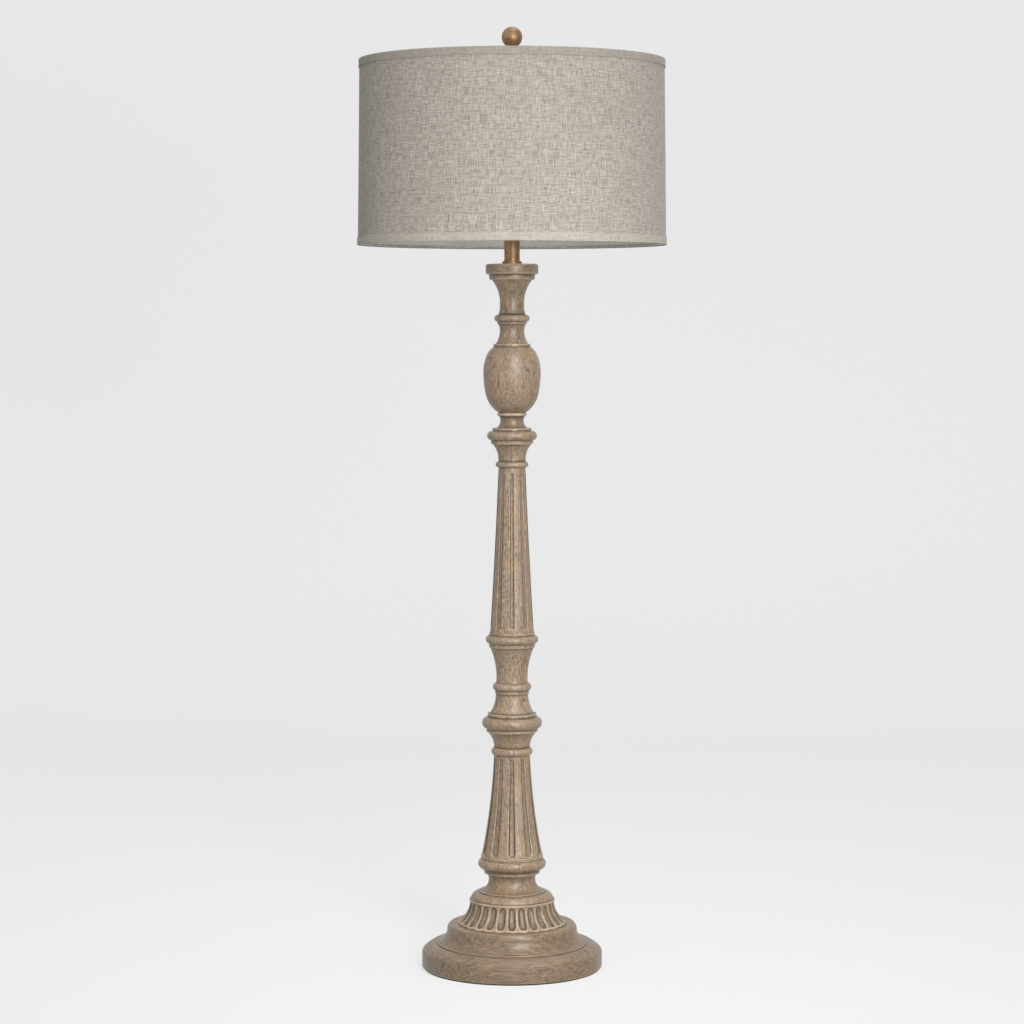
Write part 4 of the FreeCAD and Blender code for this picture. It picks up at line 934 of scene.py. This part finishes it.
def backdrop_paper():
    """Matt paper: seen, it is 0.7 an even glow and 0.3 pale lit paper; for other rays, lit grey."""
    material = new_material("Backdrop paper")
    seen = seen_by(material)
    lit = add(material, "BsdfDiffuse", {"Color": coats(material, "#8f8e8c", (seen, "#dcdcdc"))})
    glow = add(material, "Emission", {"Color": linear("#fbfbfb"), "Strength": 1.0})
    share = add(material, "Math", [seen, 0.70], operation="MULTIPLY")
    add(material, "OutputMaterial", [add(material, "MixShader", [share, lit, glow])])
    return material


paper = backdrop_paper()
print("paper graph:", len(paper.node_tree.nodes), "nodes")

# %% [markdown]
# ## Floor and backdrop
# The floor bends up into the backdrop in one smooth sheet, as paper does on a studio roll, so no
# horizon shows. The glow keeps its tone level, and the lit share keeps the lamp's soft shadow.

# %% Studio sweep
BEND = 1.5


def sweep_sheet():
    """Floor, a quarter circle (y + R sin a, R - R cos a), then a wall: a strip along X, in m."""
    bend = np.linspace(0, math.pi / 2, 24)
    along = np.concatenate([[-7.0, 0.0], 2.6 + BEND * np.sin(bend), [4.1]])
    up = np.concatenate([[0.0, 0.0], BEND - BEND * np.cos(bend), [6.0]])
    x, y = np.meshgrid(np.linspace(-7, 7, 15), along)
    vertices = np.stack([x, y, np.repeat(up[:, None], 15, axis=1)], axis=2).reshape(-1, 3)
    index = np.arange(len(vertices)).reshape(x.shape)
    faces = np.stack([index[:-1, :-1], index[:-1, 1:], index[1:, 1:], index[1:, :-1]], axis=2)
    mesh = bpy.data.meshes.new("studio_sweep")
    mesh.from_pydata(vertices.tolist(), [], faces.reshape(-1, 4).tolist())
    mesh.shade_smooth()
    thing = bpy.data.objects.new("studio_sweep", mesh)
    bpy.context.scene.collection.objects.link(thing)
    return thing


sweep = sweep_sheet()
sweep.data.materials.append(paper)
print("sweep:", len(sweep.data.polygons), "faces")

# %% [markdown]
# ## Lights
# The photograph has one soft light from the front right, whose side of the column is brighter.
# A larger, weaker light from the left opens the shadows. A light from above brightens the wall
# behind, and a narrow one lifts the base. All are squares, since a square gives the same soft
# shadows as a studio softbox does.


# %% Four area lights
def area_light(name, place, target, size, power, spread=180.0):
    """A square light aimed at a point; a spread in degrees under 180 narrows its beam."""
    lamp = bpy.data.lights.new(name, "AREA")
    lamp.size = size
    lamp.spread = math.radians(spread)
    lamp.energy = power
    thing = bpy.data.objects.new(name, lamp)
    thing.location = place
    thing.rotation_euler = (Vector(target) - Vector(place)).to_track_quat("-Z", "Y").to_euler()
    bpy.context.scene.collection.objects.link(thing)
    return thing


key = area_light("key_light", (1.3, -3.9, 1.5), (0, 0, 0.8), 1.1, 95.0)
fill = area_light("fill_light", (-3.4, -3.2, 1.6), (0, 0, 0.8), 2.5, 20.0)
rim = area_light("top_light", (0.3, 0.6, 3.6), (0, 1.6, 0.6), 2.4, 26.0)
lift = area_light("base_light", (0.7, -2.6, 2.6), (0, 0, 0), 0.8, 4.0, 45.0)
print("light in all:", sum(light.data.energy for light in (key, fill, rim, lift)), "W")

# %% [markdown]
# ## The world
# The sky beyond the sheet follows the same rule: strength 0.92 where it is seen, so that it
# matches the sheet from any side, and 0.5 as a light. The Standard view keeps colours as they
# are written.

# %% World and view
world = bpy.data.worlds.new("Studio")
world.use_nodes = True
sky = world.node_tree.nodes["Background"]
sky.inputs["Color"].default_value = linear("#f4f4f4")
extra = add(world, "Math", [seen_by(world), 0.42], operation="MULTIPLY")
strength = add(world, "Math", [extra, 0.5], operation="ADD")
world.node_tree.links.new(strength, sky.inputs["Strength"])
scene = bpy.context.scene
scene.world = world
scene.view_settings.view_transform = "Standard"
print("view", scene.view_settings.view_transform)

# %% [markdown]
# ## Camera
# The ellipses of the base and of the shade in the photograph give the camera's height and its
# distance: 1.05 m up and 4.86 m away, tilted 3.5 degrees down, with a 104 mm lens on a 36 mm
# sensor.

# %% Camera at the photograph's angle
lens = bpy.data.cameras.new("camera")
lens.lens = 104.1
lens.sensor_width = 36.0
camera = bpy.data.objects.new("camera", lens)
camera.location = (0.0, -4.86, 1.0545)
camera.rotation_euler = (math.radians(90 - 3.517), 0, 0)
scene.collection.objects.link(camera)
scene.camera = camera
print(f"field of view {math.degrees(lens.angle):.1f} degrees")
